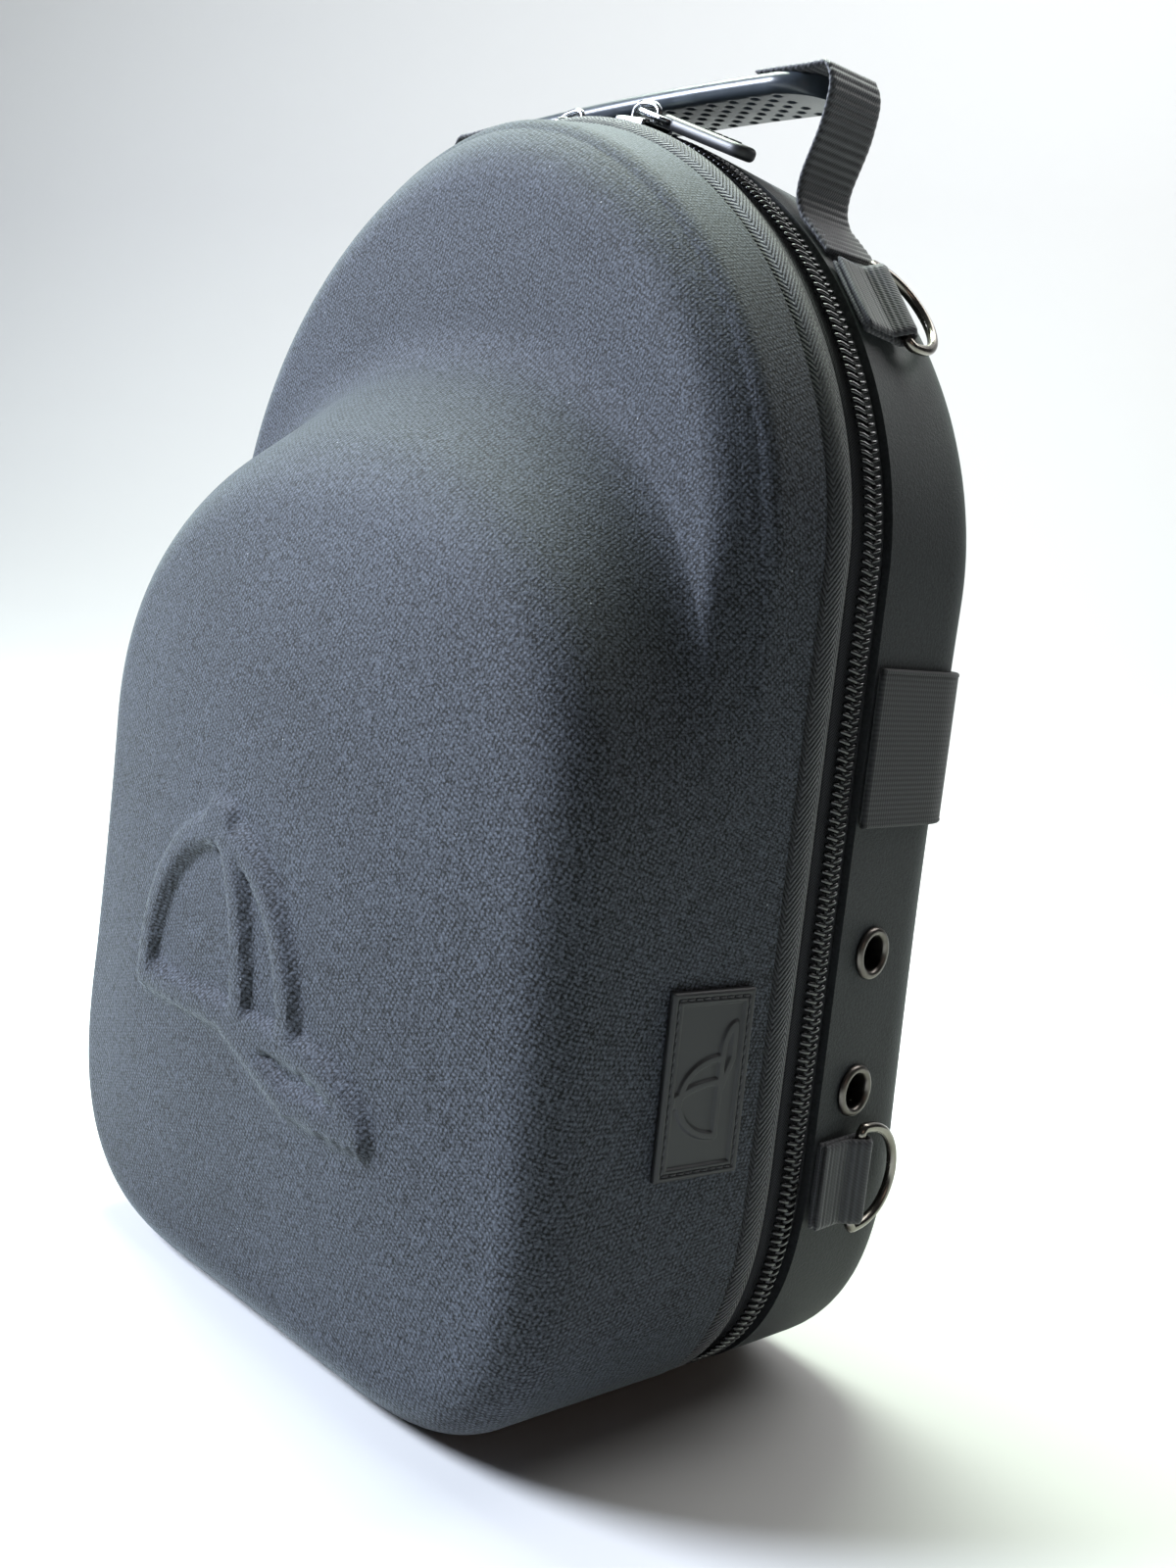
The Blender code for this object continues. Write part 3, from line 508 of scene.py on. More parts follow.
def shell_knit():
    """Polyester jersey, knitted and heat-bonded to moulded foam: matt, with fine stitches and a soft sheen."""
    colors = bpy.context.scene.cap_case_colors
    material, tree, shader = start_material(
        "polyester jersey bonded to foam", Roughness=0.72, IOR=1.5, Specular_IOR_Level=0.25
    )
    _, along, across = seam_coordinates(tree)
    place = add_node(tree, "ShaderNodeTexCoord").outputs["Object"]
    pitch = bpy.context.scene.cap_case_sizes.knit_pitch
    ripple = calculate(tree, "MULTIPLY", noise(tree, place, 4 * MM), 0.6 * MM)
    slanted = calculate(tree, "MULTIPLY_ADD", along, 0.5, across)
    rows = wave(tree, calculate(tree, "ADD", slanted, ripple), pitch)
    crossing = calculate(tree, "SUBTRACT", calculate(tree, "MULTIPLY", across, 0.45), along)
    columns = wave(tree, crossing, pitch * 1.1)
    stitches = calculate(tree, "MULTIPLY", rows, columns)
    # Painted light and shade: the fuzz's bright flecks are painted fibre glints, the stitch tops are painted lighter
    # and their depths darker; the cloud is random tone
    fuzz_and_glints = calculate(tree, "MULTIPLY_ADD", noise(tree, place, 0.7 * MM, 2.0, 0.7), 3.0, -1.0, clamp=True)
    grain = calculate(tree, "MULTIPLY_ADD", fuzz_and_glints, 0.6, calculate(tree, "MULTIPLY", stitches, 0.4))
    cloud = noise(tree, place, 60 * MM, 2.0)
    lift = calculate(tree, "MULTIPLY_ADD", cloud, 0.3, -0.34)
    shade = calculate(tree, "MULTIPLY_ADD", grain, 1.35, lift, clamp=True)
    ground = blend_colors(tree, shade, linear(colors.knit_dark), linear(colors.knit_light))
    lint = add_node(tree, "ShaderNodeTexVoronoi", {"Vector": place, "Scale": 1 / (7 * MM), "Randomness": 1.0})
    small = calculate(tree, "LESS_THAN", lint.outputs["Distance"], 0.03)
    chosen = add_node(tree, "ShaderNodeSeparateColor", {0: lint.outputs["Color"]}).outputs[0]
    speck = calculate(tree, "MULTIPLY", small, calculate(tree, "GREATER_THAN", chosen, 0.55))
    color = blend_colors(tree, calculate(tree, "MULTIPLY", speck, 0.55), ground, linear(colors.lint))
    tree.links.new(color, shader.inputs["Base Color"])
    shader.inputs["Sheen Weight"].default_value = 0.4
    shader.inputs["Sheen Roughness"].default_value = 0.3
    shader.inputs["Sheen Tint"].default_value = linear(colors.knit_sheen)
    roughen(tree, shader, grain, 0.14 * MM, 1.0)
    return material


def back_knit():
    """The same jersey stretched smooth over the back: finer, darker and flatter than the front."""
    colors = bpy.context.scene.cap_case_colors
    material, tree, shader = start_material(
        "polyester jersey stretched smooth", Roughness=0.62, IOR=1.5, Specular_IOR_Level=0.3
    )
    place = add_node(tree, "ShaderNodeTexCoord").outputs["Object"]
    fuzz_and_glints = calculate(tree, "MULTIPLY_ADD", noise(tree, place, 0.7 * MM, 3.0, 0.7), 2.4, -0.75, clamp=True)
    cloud = noise(tree, place, 45 * MM, 2.0)
    # Painted light and shade: the raised fuzz flecks are painted lighter as fibre glints and the depths darker; the
    # cloud is random tone
    shade = calculate(tree, "MULTIPLY_ADD", fuzz_and_glints, 0.6, calculate(tree, "MULTIPLY", cloud, 0.3), clamp=True)
    color = blend_colors(tree, shade, linear(colors.knit_dark), linear(colors.back_light))
    tree.links.new(color, shader.inputs["Base Color"])
    shader.inputs["Sheen Weight"].default_value = 0.2
    shader.inputs["Sheen Roughness"].default_value = 0.4
    shader.inputs["Sheen Tint"].default_value = linear(colors.knit_sheen)
    roughen(tree, shader, fuzz_and_glints, 0.09 * MM, 0.8)
    return material


def piping_twill():
    """Woven herringbone twill tape: slanting ribs that turn back at each stripe, slightly silky."""
    colors = bpy.context.scene.cap_case_colors
    material, tree, shader = start_material(
        "woven herringbone tape", Roughness=0.6, IOR=1.5, Specular_IOR_Level=0.35
    )
    vector, along, across = seam_coordinates(tree)
    stripe = calculate(tree, "PINGPONG", across, 3.3 * MM)
    slanted = calculate(tree, "MULTIPLY_ADD", stripe, 1.6, along)
    ribs = wave(tree, slanted, bpy.context.scene.cap_case_sizes.twill_pitch)
    thread = calculate(tree, "MULTIPLY_ADD", noise(tree, vector, 0.5 * MM, 2.0), 3.0, -1.0, clamp=True)
    height = calculate(tree, "MULTIPLY_ADD", thread, 0.35, calculate(tree, "MULTIPLY", ribs, 0.7))
    # Painted light and shade: the colour follows the bump's height, lighter on the ribs and darker in the depths
    # between them
    shade = calculate(tree, "SUBTRACT", height, 0.1, clamp=True)
    color = blend_colors(tree, shade, linear(colors.twill_dark), linear(colors.twill_light))
    tree.links.new(color, shader.inputs["Base Color"])
    shader.inputs["Sheen Weight"].default_value = 0.25
    shader.inputs["Sheen Roughness"].default_value = 0.4
    roughen(tree, shader, height, 0.45 * MM, 1.0)
    return material


def zip_tape_weave():
    """Tightly woven polyester zip tape: a fine herringbone, matt."""
    colors = bpy.context.scene.cap_case_colors
    material, tree, shader = start_material("woven zip tape", Roughness=0.75, IOR=1.5, Specular_IOR_Level=0.25)
    _, along, across = seam_coordinates(tree)
    stripe = calculate(tree, "PINGPONG", across, 1.2 * MM)
    ribs = wave(tree, calculate(tree, "ADD", calculate(tree, "MULTIPLY", stripe, 1.2), along), 0.7 * MM)
    # Painted light and shade: the ribs are painted lighter and the depths between them darker
    color = blend_colors(tree, ribs, linear(colors.web_dark), linear(colors.web_light))
    tree.links.new(color, shader.inputs["Base Color"])
    roughen(tree, shader, ribs, 0.12 * MM, 0.9)
    return material


def webbing_weave():
    """Woven polyester webbing: ribs across its length, each of short floating threads, a little silky."""
    colors = bpy.context.scene.cap_case_colors
    material, tree, shader = start_material(
        "ribbed polyester webbing", Roughness=0.58, IOR=1.5, Specular_IOR_Level=0.4
    )
    vector, along, across = seam_coordinates(tree)
    pitch = bpy.context.scene.cap_case_sizes.web_rib_pitch
    ribs = wave(tree, along, pitch)
    floats = wave(tree, calculate(tree, "MULTIPLY_ADD", along, 0.6, across), 0.75 * MM)
    height = calculate(tree, "MULTIPLY_ADD", floats, 0.4, calculate(tree, "MULTIPLY", ribs, 0.6))
    # Painted light and shade: the colour follows the ribs' height, lighter on the ribs and darker in the depths; the
    # fine noise is random tone
    ridges = calculate(tree, "MULTIPLY", height, 0.8)
    shade = calculate(tree, "MULTIPLY_ADD", noise(tree, vector, 0.5 * MM, 2.0), 0.4, ridges, clamp=True)
    color = blend_colors(tree, shade, linear(colors.web_dark), linear(colors.web_light))
    tree.links.new(color, shader.inputs["Base Color"])
    shader.inputs["Sheen Weight"].default_value = 0.2
    roughen(tree, shader, height, 0.16 * MM, 0.9)
    return material


def elastic_weave():
    """Woven elastic: close lengthwise ribs crossed by fine rubber-cored threads, matt black."""
    colors = bpy.context.scene.cap_case_colors
    material, tree, shader = start_material("woven elastic", Roughness=0.7, IOR=1.5, Specular_IOR_Level=0.3)
    _, along, across = seam_coordinates(tree)
    ribs = wave(tree, across, 1.1 * MM)
    crossing = wave(tree, along, 0.9 * MM)
    height = calculate(tree, "MULTIPLY_ADD", crossing, 0.35, calculate(tree, "MULTIPLY", ribs, 0.65))
    # Painted light and shade: the colour follows the bump, lighter on the ribs and darker in the depths
    color = blend_colors(tree, height, linear(colors.web_dark), linear(colors.elastic_light))
    tree.links.new(color, shader.inputs["Base Color"])
    shader.inputs["Sheen Weight"].default_value = 0.15
    roughen(tree, shader, height, 0.15 * MM, 0.8)
    return material


def coil_nylon():
    """Extruded nylon monofilament, heat-formed into a coil: smooth, black and glossy."""
    colors = bpy.context.scene.cap_case_colors
    material, tree, shader = start_material("formed nylon coil", Roughness=0.2, IOR=1.53, Specular_IOR_Level=0.6)
    place = add_node(tree, "ShaderNodeTexCoord").outputs["Object"]
    wear = noise(tree, place, 1.5 * MM, 2.0)
    color = blend_colors(tree, wear, linear(colors.coil), linear(colors.coil_worn))
    tree.links.new(color, shader.inputs["Base Color"])
    roughness = calculate(tree, "MULTIPLY_ADD", wear, 0.2, 0.14)
    tree.links.new(roughness, shader.inputs["Roughness"])
    return material


def plated_metal(name, tone, roughness, wear_size):
    """Die-cast zinc or wire with a dark nickel plating: polished, with faint handling marks."""
    material, tree, shader = start_material(name, Metallic=1.0, Roughness=roughness)
    place = add_node(tree, "ShaderNodeTexCoord").outputs["Object"]
    marks = noise(tree, place, wear_size, 4.0, 0.65)
    dark = tuple(channel * 0.55 for channel in linear(tone)[:3]) + (1.0,)
    color = blend_colors(tree, marks, dark, linear(tone))
    tree.links.new(color, shader.inputs["Base Color"])
    tree.links.new(calculate(tree, "MULTIPLY_ADD", marks, 0.22, roughness - 0.1), shader.inputs["Roughness"])
    roughen(tree, shader, marks, 0.02 * MM, 0.5)
    return material


def moulded_rubber(name, dark, light, roughness):
    """Injection-moulded rubber: a fine spark-eroded grain from the mould, satin."""
    material, tree, shader = start_material(name, Roughness=roughness, IOR=1.52, Specular_IOR_Level=0.45)
    place = add_node(tree, "ShaderNodeTexCoord").outputs["Object"]
    grain = noise(tree, place, 0.35 * MM, 3.0, 0.7)
    bloom = noise(tree, place, 9 * MM, 3.0)
    shade = calculate(tree, "MULTIPLY_ADD", grain, 0.35, calculate(tree, "MULTIPLY", bloom, 0.6), clamp=True)
    color = blend_colors(tree, shade, linear(dark), linear(light))
    tree.links.new(color, shader.inputs["Base Color"])
    tree.links.new(calculate(tree, "MULTIPLY_ADD", bloom, 0.18, roughness - 0.08), shader.inputs["Roughness"])
    roughen(tree, shader, grain, 0.03 * MM, 0.7)
    return material


def thread_floss():
    """Twisted polyester sewing thread, black."""
    colors = bpy.context.scene.cap_case_colors
    material, tree, shader = start_material("twisted sewing thread", Roughness=0.55, IOR=1.5)
    _, along, across = seam_coordinates(tree)
    twist = wave(tree, calculate(tree, "MULTIPLY_ADD", across, 0.8, along), 0.5 * MM)
    color = blend_colors(tree, twist, linear(colors.web_dark), linear(colors.thread))
    tree.links.new(color, shader.inputs["Base Color"])
    return material


def profile_table(profile, rays, stations, weight):
    """Points (direction, distance, depth, arc from the centre) of a shell for each ray and station.

    Rays run once round the outline from the bottom centre, and stations from the centre to the rim.
    """
    centre = np.array([0, CROWN_CENTRE])
    rims = resampled(half_outline(), rays // 2)
    rims[0, 0] = 0
    rims[-1, 0] = 0
    shares = np.linspace(0, 1, stations + 1)
    rows = []
    for rim in rims:
        direction = (rim - centre) / np.linalg.norm(rim - centre)
        section = profile(rim, direction)[::-1]
        section[0, 0] = 0
        pieces = np.diff(section, axis=0)
        headings = np.unwrap(np.arctan2(pieces[:, 1], pieces[:, 0]))
        turns = np.abs(np.diff(headings, prepend=headings[0]))
        spans = np.linalg.norm(pieces, axis=1)
        arcs = np.concatenate([[0], np.cumsum(spans)])
        costs = np.concatenate([[0], np.cumsum(spans + weight * turns)])
        wanted = shares * costs[-1]
        columns = [np.interp(wanted, costs, column) for column in (section[:, 0], section[:, 1], arcs)]
        headed = [np.full(len(shares), direction[k]) for k in (0, 1)]
        rows.append(np.stack(headed + columns, axis=1))
    right = np.array(rows)
    left = right[::-1][1:].copy()
    left[:, :, 0] *= -1
    return np.concatenate([right, left])


def shell_skin(table, rings, depth_sign, relief=None):
    """A shell's surface as rings of quads without a pole: points and UVs in metres.

    Ring k is a square of 8k points wrapped round the case, so no fan of thin triangles shows at the centre.
    """
    rays, stations = table.shape[0] - 1, table.shape[1] - 1
    side = 2 * rings + 1
    grid = np.arange(side) - rings
    gx, gz = np.meshgrid(grid, grid, indexing="ij")
    ring = np.maximum(abs(gx), abs(gz))
    safe = np.maximum(ring, 1)
    arc = np.zeros((side, side))
    bottom = (gz == -ring) & (gx < ring)
    arc = np.where(bottom, gx, arc)
    right = (gx == ring) & (gz < ring)
    arc = np.where(right, gz + 2 * ring, arc)
    top = (gz == ring) & (gx > -ring)
    arc = np.where(top, 4 * ring - gx, arc)
    left = (gx == -ring) & (gz > -ring)
    arc = np.where(left, 6 * ring - gz, arc)
    share = (arc / (8 * safe)) % 1.0
    along = share * rays
    out = ring / rings * stations
    r0 = np.floor(along).astype(int).clip(0, rays - 1)
    s0 = np.floor(out).astype(int).clip(0, stations - 1)
    fr, fs = (along - r0)[..., None], (out - s0)[..., None]
    mixed = (
        table[r0, s0] * (1 - fr) * (1 - fs)
        + table[r0 + 1, s0] * fr * (1 - fs)
        + table[r0, s0 + 1] * (1 - fr) * fs
        + table[r0 + 1, s0 + 1] * fr * fs
    )
    length = np.hypot(mixed[..., 0], mixed[..., 1])
    dx, dz = mixed[..., 0] / length, mixed[..., 1] / length
    x, z = dx * mixed[..., 2], CROWN_CENTRE + dz * mixed[..., 2]
    depth = mixed[..., 3]
    if relief is not None:
        depth = depth + relief(x, z)
    points = np.stack([x, depth * depth_sign, z], axis=-1)
    uv = np.stack([dx * mixed[..., 4], dz * mixed[..., 4]], axis=-1)
    return points, uv


def rim_loop(side):
    """Indices of a square grid's border, in order from its bottom middle to the right."""
    last = side - 1
    middle = last // 2
    bottom_right = [(k, 0) for k in range(middle, last)]
    right = [(last, k) for k in range(last)]
    top = [(last - k, last) for k in range(last)]
    left = [(0, last - k) for k in range(last)]
    bottom_left = [(k, 0) for k in range(middle)]
    return [i * side + j for i, j in bottom_right + right + top + left + bottom_left]


def shell_mesh(name, table, rings, depth_sign, relief=None, inner_stations=14):
    """A shell with its outer skin, its rim and a plainer inner skin 4 mm below."""
    points, uv = shell_skin(table, rings, depth_sign, relief)
    side = points.shape[0]
    vertices = points.reshape(-1, 3)
    texture = uv.reshape(-1, 2)
    i, j = np.meshgrid(np.arange(side - 1), np.arange(side - 1), indexing="ij")
    first = (i * side + j).ravel()
    faces = np.stack([first, first + side, first + side + 1, first + 1], axis=-1)
    if depth_sign > 0:
        faces = faces[:, ::-1]
    border = rim_loop(side)
    count = len(border)
    rays = table.shape[0] - 1
    sample = np.arange(count) / count * rays
    r0 = np.floor(sample).astype(int)
    fr = (sample - r0)[:, None, None]
    rows = table[r0] * (1 - fr) + table[r0 + 1] * fr
    picks = np.linspace(table.shape[1] - 1, 0, inner_stations + 1).astype(int)
    profile = rows[:, picks][:, :, 2:4]
    tangent = np.gradient(rows[:, :, 2:4], axis=1)[:, picks]
    normal = np.stack([tangent[..., 1], -tangent[..., 0]], axis=-1)
    normal /= np.linalg.norm(normal, axis=-1)[..., None]
    normal *= np.where(normal[:, :1, 0:1] > 0, 1, -1)
    inner = profile - normal * SHELL_WALL
    inner[:, -1, 0] = 0
    direction = rows[:, 0, 0:2] / np.linalg.norm(rows[:, 0, 0:2], axis=1)[:, None]
    inner_points = np.stack(
        [
            direction[:, None, 0] * inner[..., 0],
            inner[..., 1] * depth_sign,
            CROWN_CENTRE + direction[:, None, 1] * inner[..., 0],
        ],
        axis=-1,
    )
    start = len(vertices)
    columns = inner_stations
    lining = inner_points[:, :columns].reshape(-1, 3)
    pole = [0, inner[0, -1, 1] * depth_sign, CROWN_CENTRE]
    vertices = np.concatenate([vertices, lining, [pole]])
    inner_uv = np.zeros((count * columns + 1, 2))
    inner_uv[:-1] = lining[:, [0, 2]]
    texture = np.concatenate([texture, inner_uv])
    apex = len(vertices) - 1
    extra = []
    for k in range(count):
        n = (k + 1) % count
        here, there = start + k * columns, start + n * columns
        extra.append([border[k], border[n], there, here])
        for c in range(columns - 1):
            extra.append([here + c, there + c, there + c + 1, here + c + 1])
        extra.append([here + columns - 1, there + columns - 1, apex])
    if depth_sign > 0:
        extra = [face[::-1] for face in extra]
    mesh = bpy.data.meshes.new(name)
    mesh.from_pydata(vertices.tolist(), [], faces.tolist() + extra)
    layer = mesh.uv_layers.new(name="seam")
    loops = np.zeros(len(mesh.loops), dtype=int)
    mesh.loops.foreach_get("vertex_index", loops)
    layer.data.foreach_set("uv", texture[loops].ravel())
    mesh.validate()
    mesh.shade_smooth()
    obj = outward(add_object(name, mesh))
    obj.data.set_sharp_from_angle(angle=SHARP_ANGLE)
    return obj


def stroke_distance(x, z, points):
    """Distance to a broken line."""
    best = np.full(np.shape(x), 1.0)
    for (ax, az), (bx, bz) in zip(points[:-1], points[1:]):
        span = (bx - ax) ** 2 + (bz - az) ** 2
        t = np.clip(((x - ax) * (bx - ax) + (z - az) * (bz - az)) / span, 0, 1)
        best = np.minimum(best, np.hypot(x - ax - t * (bx - ax), z - az - t * (bz - az)))
    return best


def arc_points(cx, cz, rx, rz, start, end, steps=20):
    angles = np.radians(np.linspace(start, end, steps + 1))
    return [(cx + rx * math.cos(a), cz + rz * math.sin(a)) for a in angles]


def cap_sign_strokes():
    """Lines of a plain cap seen from its side, in a box from -1 to 1 across."""
    crown = arc_points(-0.18, -0.28, 0.62, 0.78, 0, 180)
    base = [(-0.80, -0.28), (0.44, -0.28)]
    brim = arc_points(0.44, -0.52, 0.52, 0.24, 90, 8, 12) + [(0.44, -0.50), (-0.10, -0.28)]
    seam = arc_points(-0.18, -0.28, 0.24, 0.78, 90, 0, 12)
    button = [(-0.24, 0.56), (-0.12, 0.56)]
    return [crown, base, brim, seam, button]


def cap_sign_height(x, z, scale, width, soft):
    """0 to 1: how far the sign stands out at a point, from strokes of this width with soft shoulders."""
    best = np.full(np.shape(x), 1.0)
    for stroke in cap_sign_strokes():
        best = np.minimum(best, stroke_distance(x, z, [(a * scale, b * scale) for a, b in stroke]))
    return smooth_share((width / 2 + soft / 2 - best) / soft)


def front_relief(x, z):
    """The raised sign on the front, moulded through the cloth, so its shoulders are soft."""
    sizes = bpy.context.scene.cap_case_sizes
    across, up = x - sizes.sign_x, z - sizes.sign_z
    raised = cap_sign_height(across, up, sizes.sign_half_width, sizes.sign_stroke, SIGN_SHOULDER)
    return raised * sizes.sign_height


def ribbon(name, path, width, thickness, matrix=Matrix(), pitch=None, rib=0.0, step=0.0004, columns=14):
    """Webbing along a flat path of points (x, y), its width along local Z.

    Ribs cross it at a pitch, its long edges are rounded and it has closed ends.
    """
    length = path_lengths(path)[-1]
    rows = max(int(length / step), 8)
    path = resampled(path, rows)
    normals = outline_normals(path)
    lengths = path_lengths(path)
    across = np.linspace(-1, 1, columns)
    edge = np.sqrt(np.clip(1 - np.clip((abs(across) - 0.94) / 0.06, 0, 1) ** 2, 0, 1)).clip(0.35)
    wave_height = np.zeros(len(path))
    if pitch:
        wave_height = rib * (np.abs(np.sin(np.pi * lengths / pitch)) - 0.6)
    selvedge = np.where(abs(across) > 0.93, 0.4, 1.0)
    half = thickness / 2
    top = half * edge[None] + wave_height[:, None] * selvedge[None]
    offsets = np.concatenate([top, -top[:, ::-1]], axis=1)
    positions = np.concatenate([across, across[::-1]]) * width / 2
    points = np.zeros((len(path), 2 * columns, 3))
    points[..., 0] = path[:, None, 0] + normals[:, None, 0] * offsets
    points[..., 1] = path[:, None, 1] + normals[:, None, 1] * offsets
    points[..., 2] = positions[None]
    section = np.concatenate([positions + width / 2, [width / 2]])
    return outward(surface(name, points, lengths, section, matrix, False, True, caps=True))


def stitch_row(name, start, end, count, matrix, diameter=0.5 * MM, lift=0.15 * MM):
    """Stitches of thread from start to end in a local plane, each sinking at its ends."""
    start, end = np.array(start, float), np.array(end, float)
    made = []
    for k in range(count):
        a = start + (end - start) * (k + 0.14) / count
        b = start + (end - start) * (k + 0.86) / count
        shares = np.linspace(0, 1, 6)
        path = [(*(a + (b - a) * s), lift * math.sin(math.pi * s) * 1.6 - lift * 0.3) for s in shares]
        made.append(sweep(f"{name}_{k}", path, circle(diameter / 2, 6), matrix, side=(0, 0, 1)))
    return made


def length(label, description, default):
    """A size in metres that can be changed."""
    return bpy.props.FloatProperty(name=label, description=description, default=default, unit="LENGTH")


def hex_color(label, description, default):
    """A colour that can be changed, as an sRGB hex value."""
    return bpy.props.StringProperty(name=label, description=description, default=default)


def degrees(label, description, default):
    """An angle in degrees that can be changed."""
    return bpy.props.FloatProperty(name=label, description=description, default=default)


class CapCaseSizes(bpy.types.PropertyGroup):
    """Sizes of the visible detail."""

    sign_height: length("Sign relief", "How far the sign on the front stands out", 0.0025)
    sign_stroke: length("Sign stroke", "Width of the sign's lines", 0.0072)
    sign_half_width: length("Sign half width", "Half the width of the sign on the front", 0.056)
    sign_x: length("Sign place across", "Middle of the sign from the middle of the case", -0.006)
    sign_z: length("Sign height", "Middle of the sign above the ground", 0.092)
    knit_pitch: length("Knit pitch", "Spacing of the jersey's rows, coarser than real so that they show", 0.0011)
    tooth_pitch: length("Zip pitch", "Spacing of the coil's turns", 0.0019)
    twill_pitch: length("Twill pitch", "Spacing of the piping's ribs, coarser than real so that they show", 0.0014)
    web_rib_pitch: length("Webbing rib pitch", "Spacing of the ribs across the webbing", 0.0019)
    dimple_pitch: length("Grip dimple pitch", "Spacing of the dimples under the grip", 0.0050)


class CapCaseColors(bpy.types.PropertyGroup):
    """Colours as sRGB hex values."""

    # Knit dark and knit light paint shade into the jersey's depths and light onto its stitch tops and fuzz flecks
    knit_dark: hex_color("Knit dark", "Depths of the jersey", "#040506")
    knit_light: hex_color("Knit light", "Tops of the jersey's stitches", "#50555e")
    knit_sheen: hex_color("Knit sheen", "Tint of the jersey's fuzz", "#a9b4b2")
    # Back light is painted light on the back jersey's raised fuzz flecks
    back_light: hex_color("Back light", "Lighter tone of the back's jersey", "#2b2d30")
    lint: hex_color("Lint", "Specks of lint", "#a9adb2")
    # Twill dark and twill light paint shade into the twill's depths and light onto its ribs
    twill_dark: hex_color("Twill dark", "Depths of the piping's twill", "#09090a")
    twill_light: hex_color("Twill light", "Ribs of the piping's twill", "#4c4e51")
    # Webbing dark paints shade into the depths of the webbing, zip tape and elastic, and is the dark of the thread's
    # twist; webbing light paints light onto the ribs
    web_dark: hex_color("Webbing dark", "Depths of the webbing", "#070708")
    web_light: hex_color("Webbing light", "Ribs of the webbing", "#36373b")
    # Elastic light is painted light on the elastic's ribs
    elastic_light: hex_color("Elastic light", "Ribs of the elastic", "#232427")
    thread: hex_color("Thread", "Sewing thread", "#3a3b3f")
    coil: hex_color("Coil", "Nylon coil", "#0a0a0b")
    coil_worn: hex_color("Coil worn", "Coil where it is rubbed", "#17171a")
    slider_metal: hex_color("Slider metal", "Gunmetal plating", "#8e9195")
    ring_metal: hex_color("Ring metal", "Nickel plating", "#8f8a82")
    eyelet_metal: hex_color("Eyelet metal", "Black plating", "#6d6863")
    rubber_dark: hex_color("Rubber dark", "Moulded rubber", "#101011")
    rubber_light: hex_color("Rubber light", "Bloom on the rubber", "#2a2b2e")
    grip_dark: hex_color("Grip dark", "Rubber of the grip", "#1a1c20")
    grip_light: hex_color("Grip light", "Bloom on the grip", "#454d55")


class CapCaseStudio(bpy.types.PropertyGroup):
    """Camera, floor and lights."""

    camera_place: bpy.props.FloatVectorProperty(
        name="Camera", description="Camera's place", default=(0.32073, -0.25876, 0.18794), subtype="TRANSLATION"
    )
    camera_azimuth: degrees("Azimuth", "Angle of view round the case, in degrees", 47.18)
    camera_elevation: degrees("Elevation", "Angle of view above the floor, in degrees", 7.07)
    camera_roll: degrees("Roll", "Tilt of the picture, in degrees", 6.31)
    camera_lens: bpy.props.FloatProperty(name="Lens", description="Focal length in millimetres", default=37.18)
    floor_color: hex_color("Floor", "Floor and backdrop", "#c2c2c0")


class CAPCASE_OT_front_shell(bpy.types.Operator):
    """Moulds the front shell: brim, crown and raised sign in one jersey skin"""

    bl_idname = "capcase.front_shell"
    bl_label = "Front shell"

    def execute(self, context):
        table = profile_table(front_profile, 480, 260, 0.020)
        shell = shell_mesh("front_shell_skin", table, 118, -1, front_relief)
        dress(shell, shell_knit(), "case", ["front_shell"])
        return {"FINISHED"}


class CAPCASE_OT_back_shell(bpy.types.Operator):
    """Moulds the back shell and pierces it for the eyelets"""

    bl_idname = "capcase.back_shell"
    bl_label = "Back shell"

    def execute(self, context):
        table = profile_table(back_profile, 360, 160, 0.020)
        shell = shell_mesh("back_shell_skin", table, 60, 1)
        material = back_knit()
        shell.data.materials.append(material)
        radius = EYELET_HOLE / 2 + EYELET_BARREL_WALL + GAP
        for level, height in EYELET_HEIGHTS.items():
            for name, side in SIDES.items():
                matrix = wall_frame(side, height, EYELET_DEPTH, BACK_DRAFT, 1)
                path = [(0, 0, -2.2 * SHELL_WALL), (0, 0, 0), (0, 0, 2 * SHELL_WALL)]
                cutter = sweep(f"hole_{level}_{name}", path, circle(radius, 48), matrix, side=(1, 0, 0))
                cutter.data.materials.append(material)
                cut = shell.modifiers.new("hole", "BOOLEAN")
                cut.object = cutter
                cut.solver = "EXACT"
                context.view_layer.objects.active = shell
                bpy.ops.object.modifier_apply(modifier=cut.name)
                bpy.data.objects.remove(cutter)
        shell.data.set_sharp_from_angle(angle=SHARP_ANGLE)
        dress(shell, material, "case", ["back_shell"])
        return {"FINISHED"}


class CAPCASE_OT_piping(bpy.types.Operator):
    """Runs the twill-covered piping round the seam"""

    bl_idname = "capcase.piping"
    bl_label = "Piping"

    def execute(self, context):
        depth = TAPE_FRONT + GAP + PIPING_DIAMETER / 2
        outline = whole_outline(PIPING_DIAMETER / 2 + GAP, 420)
        path = [(x, -depth, z) for x, z in outline]
        piping = sweep("piping_cord", path, circle(PIPING_DIAMETER / 2, 28), closed=True, side=(0, 1, 0))
        dress(piping, piping_twill(), "case", ["piping"])
        return {"FINISHED"}


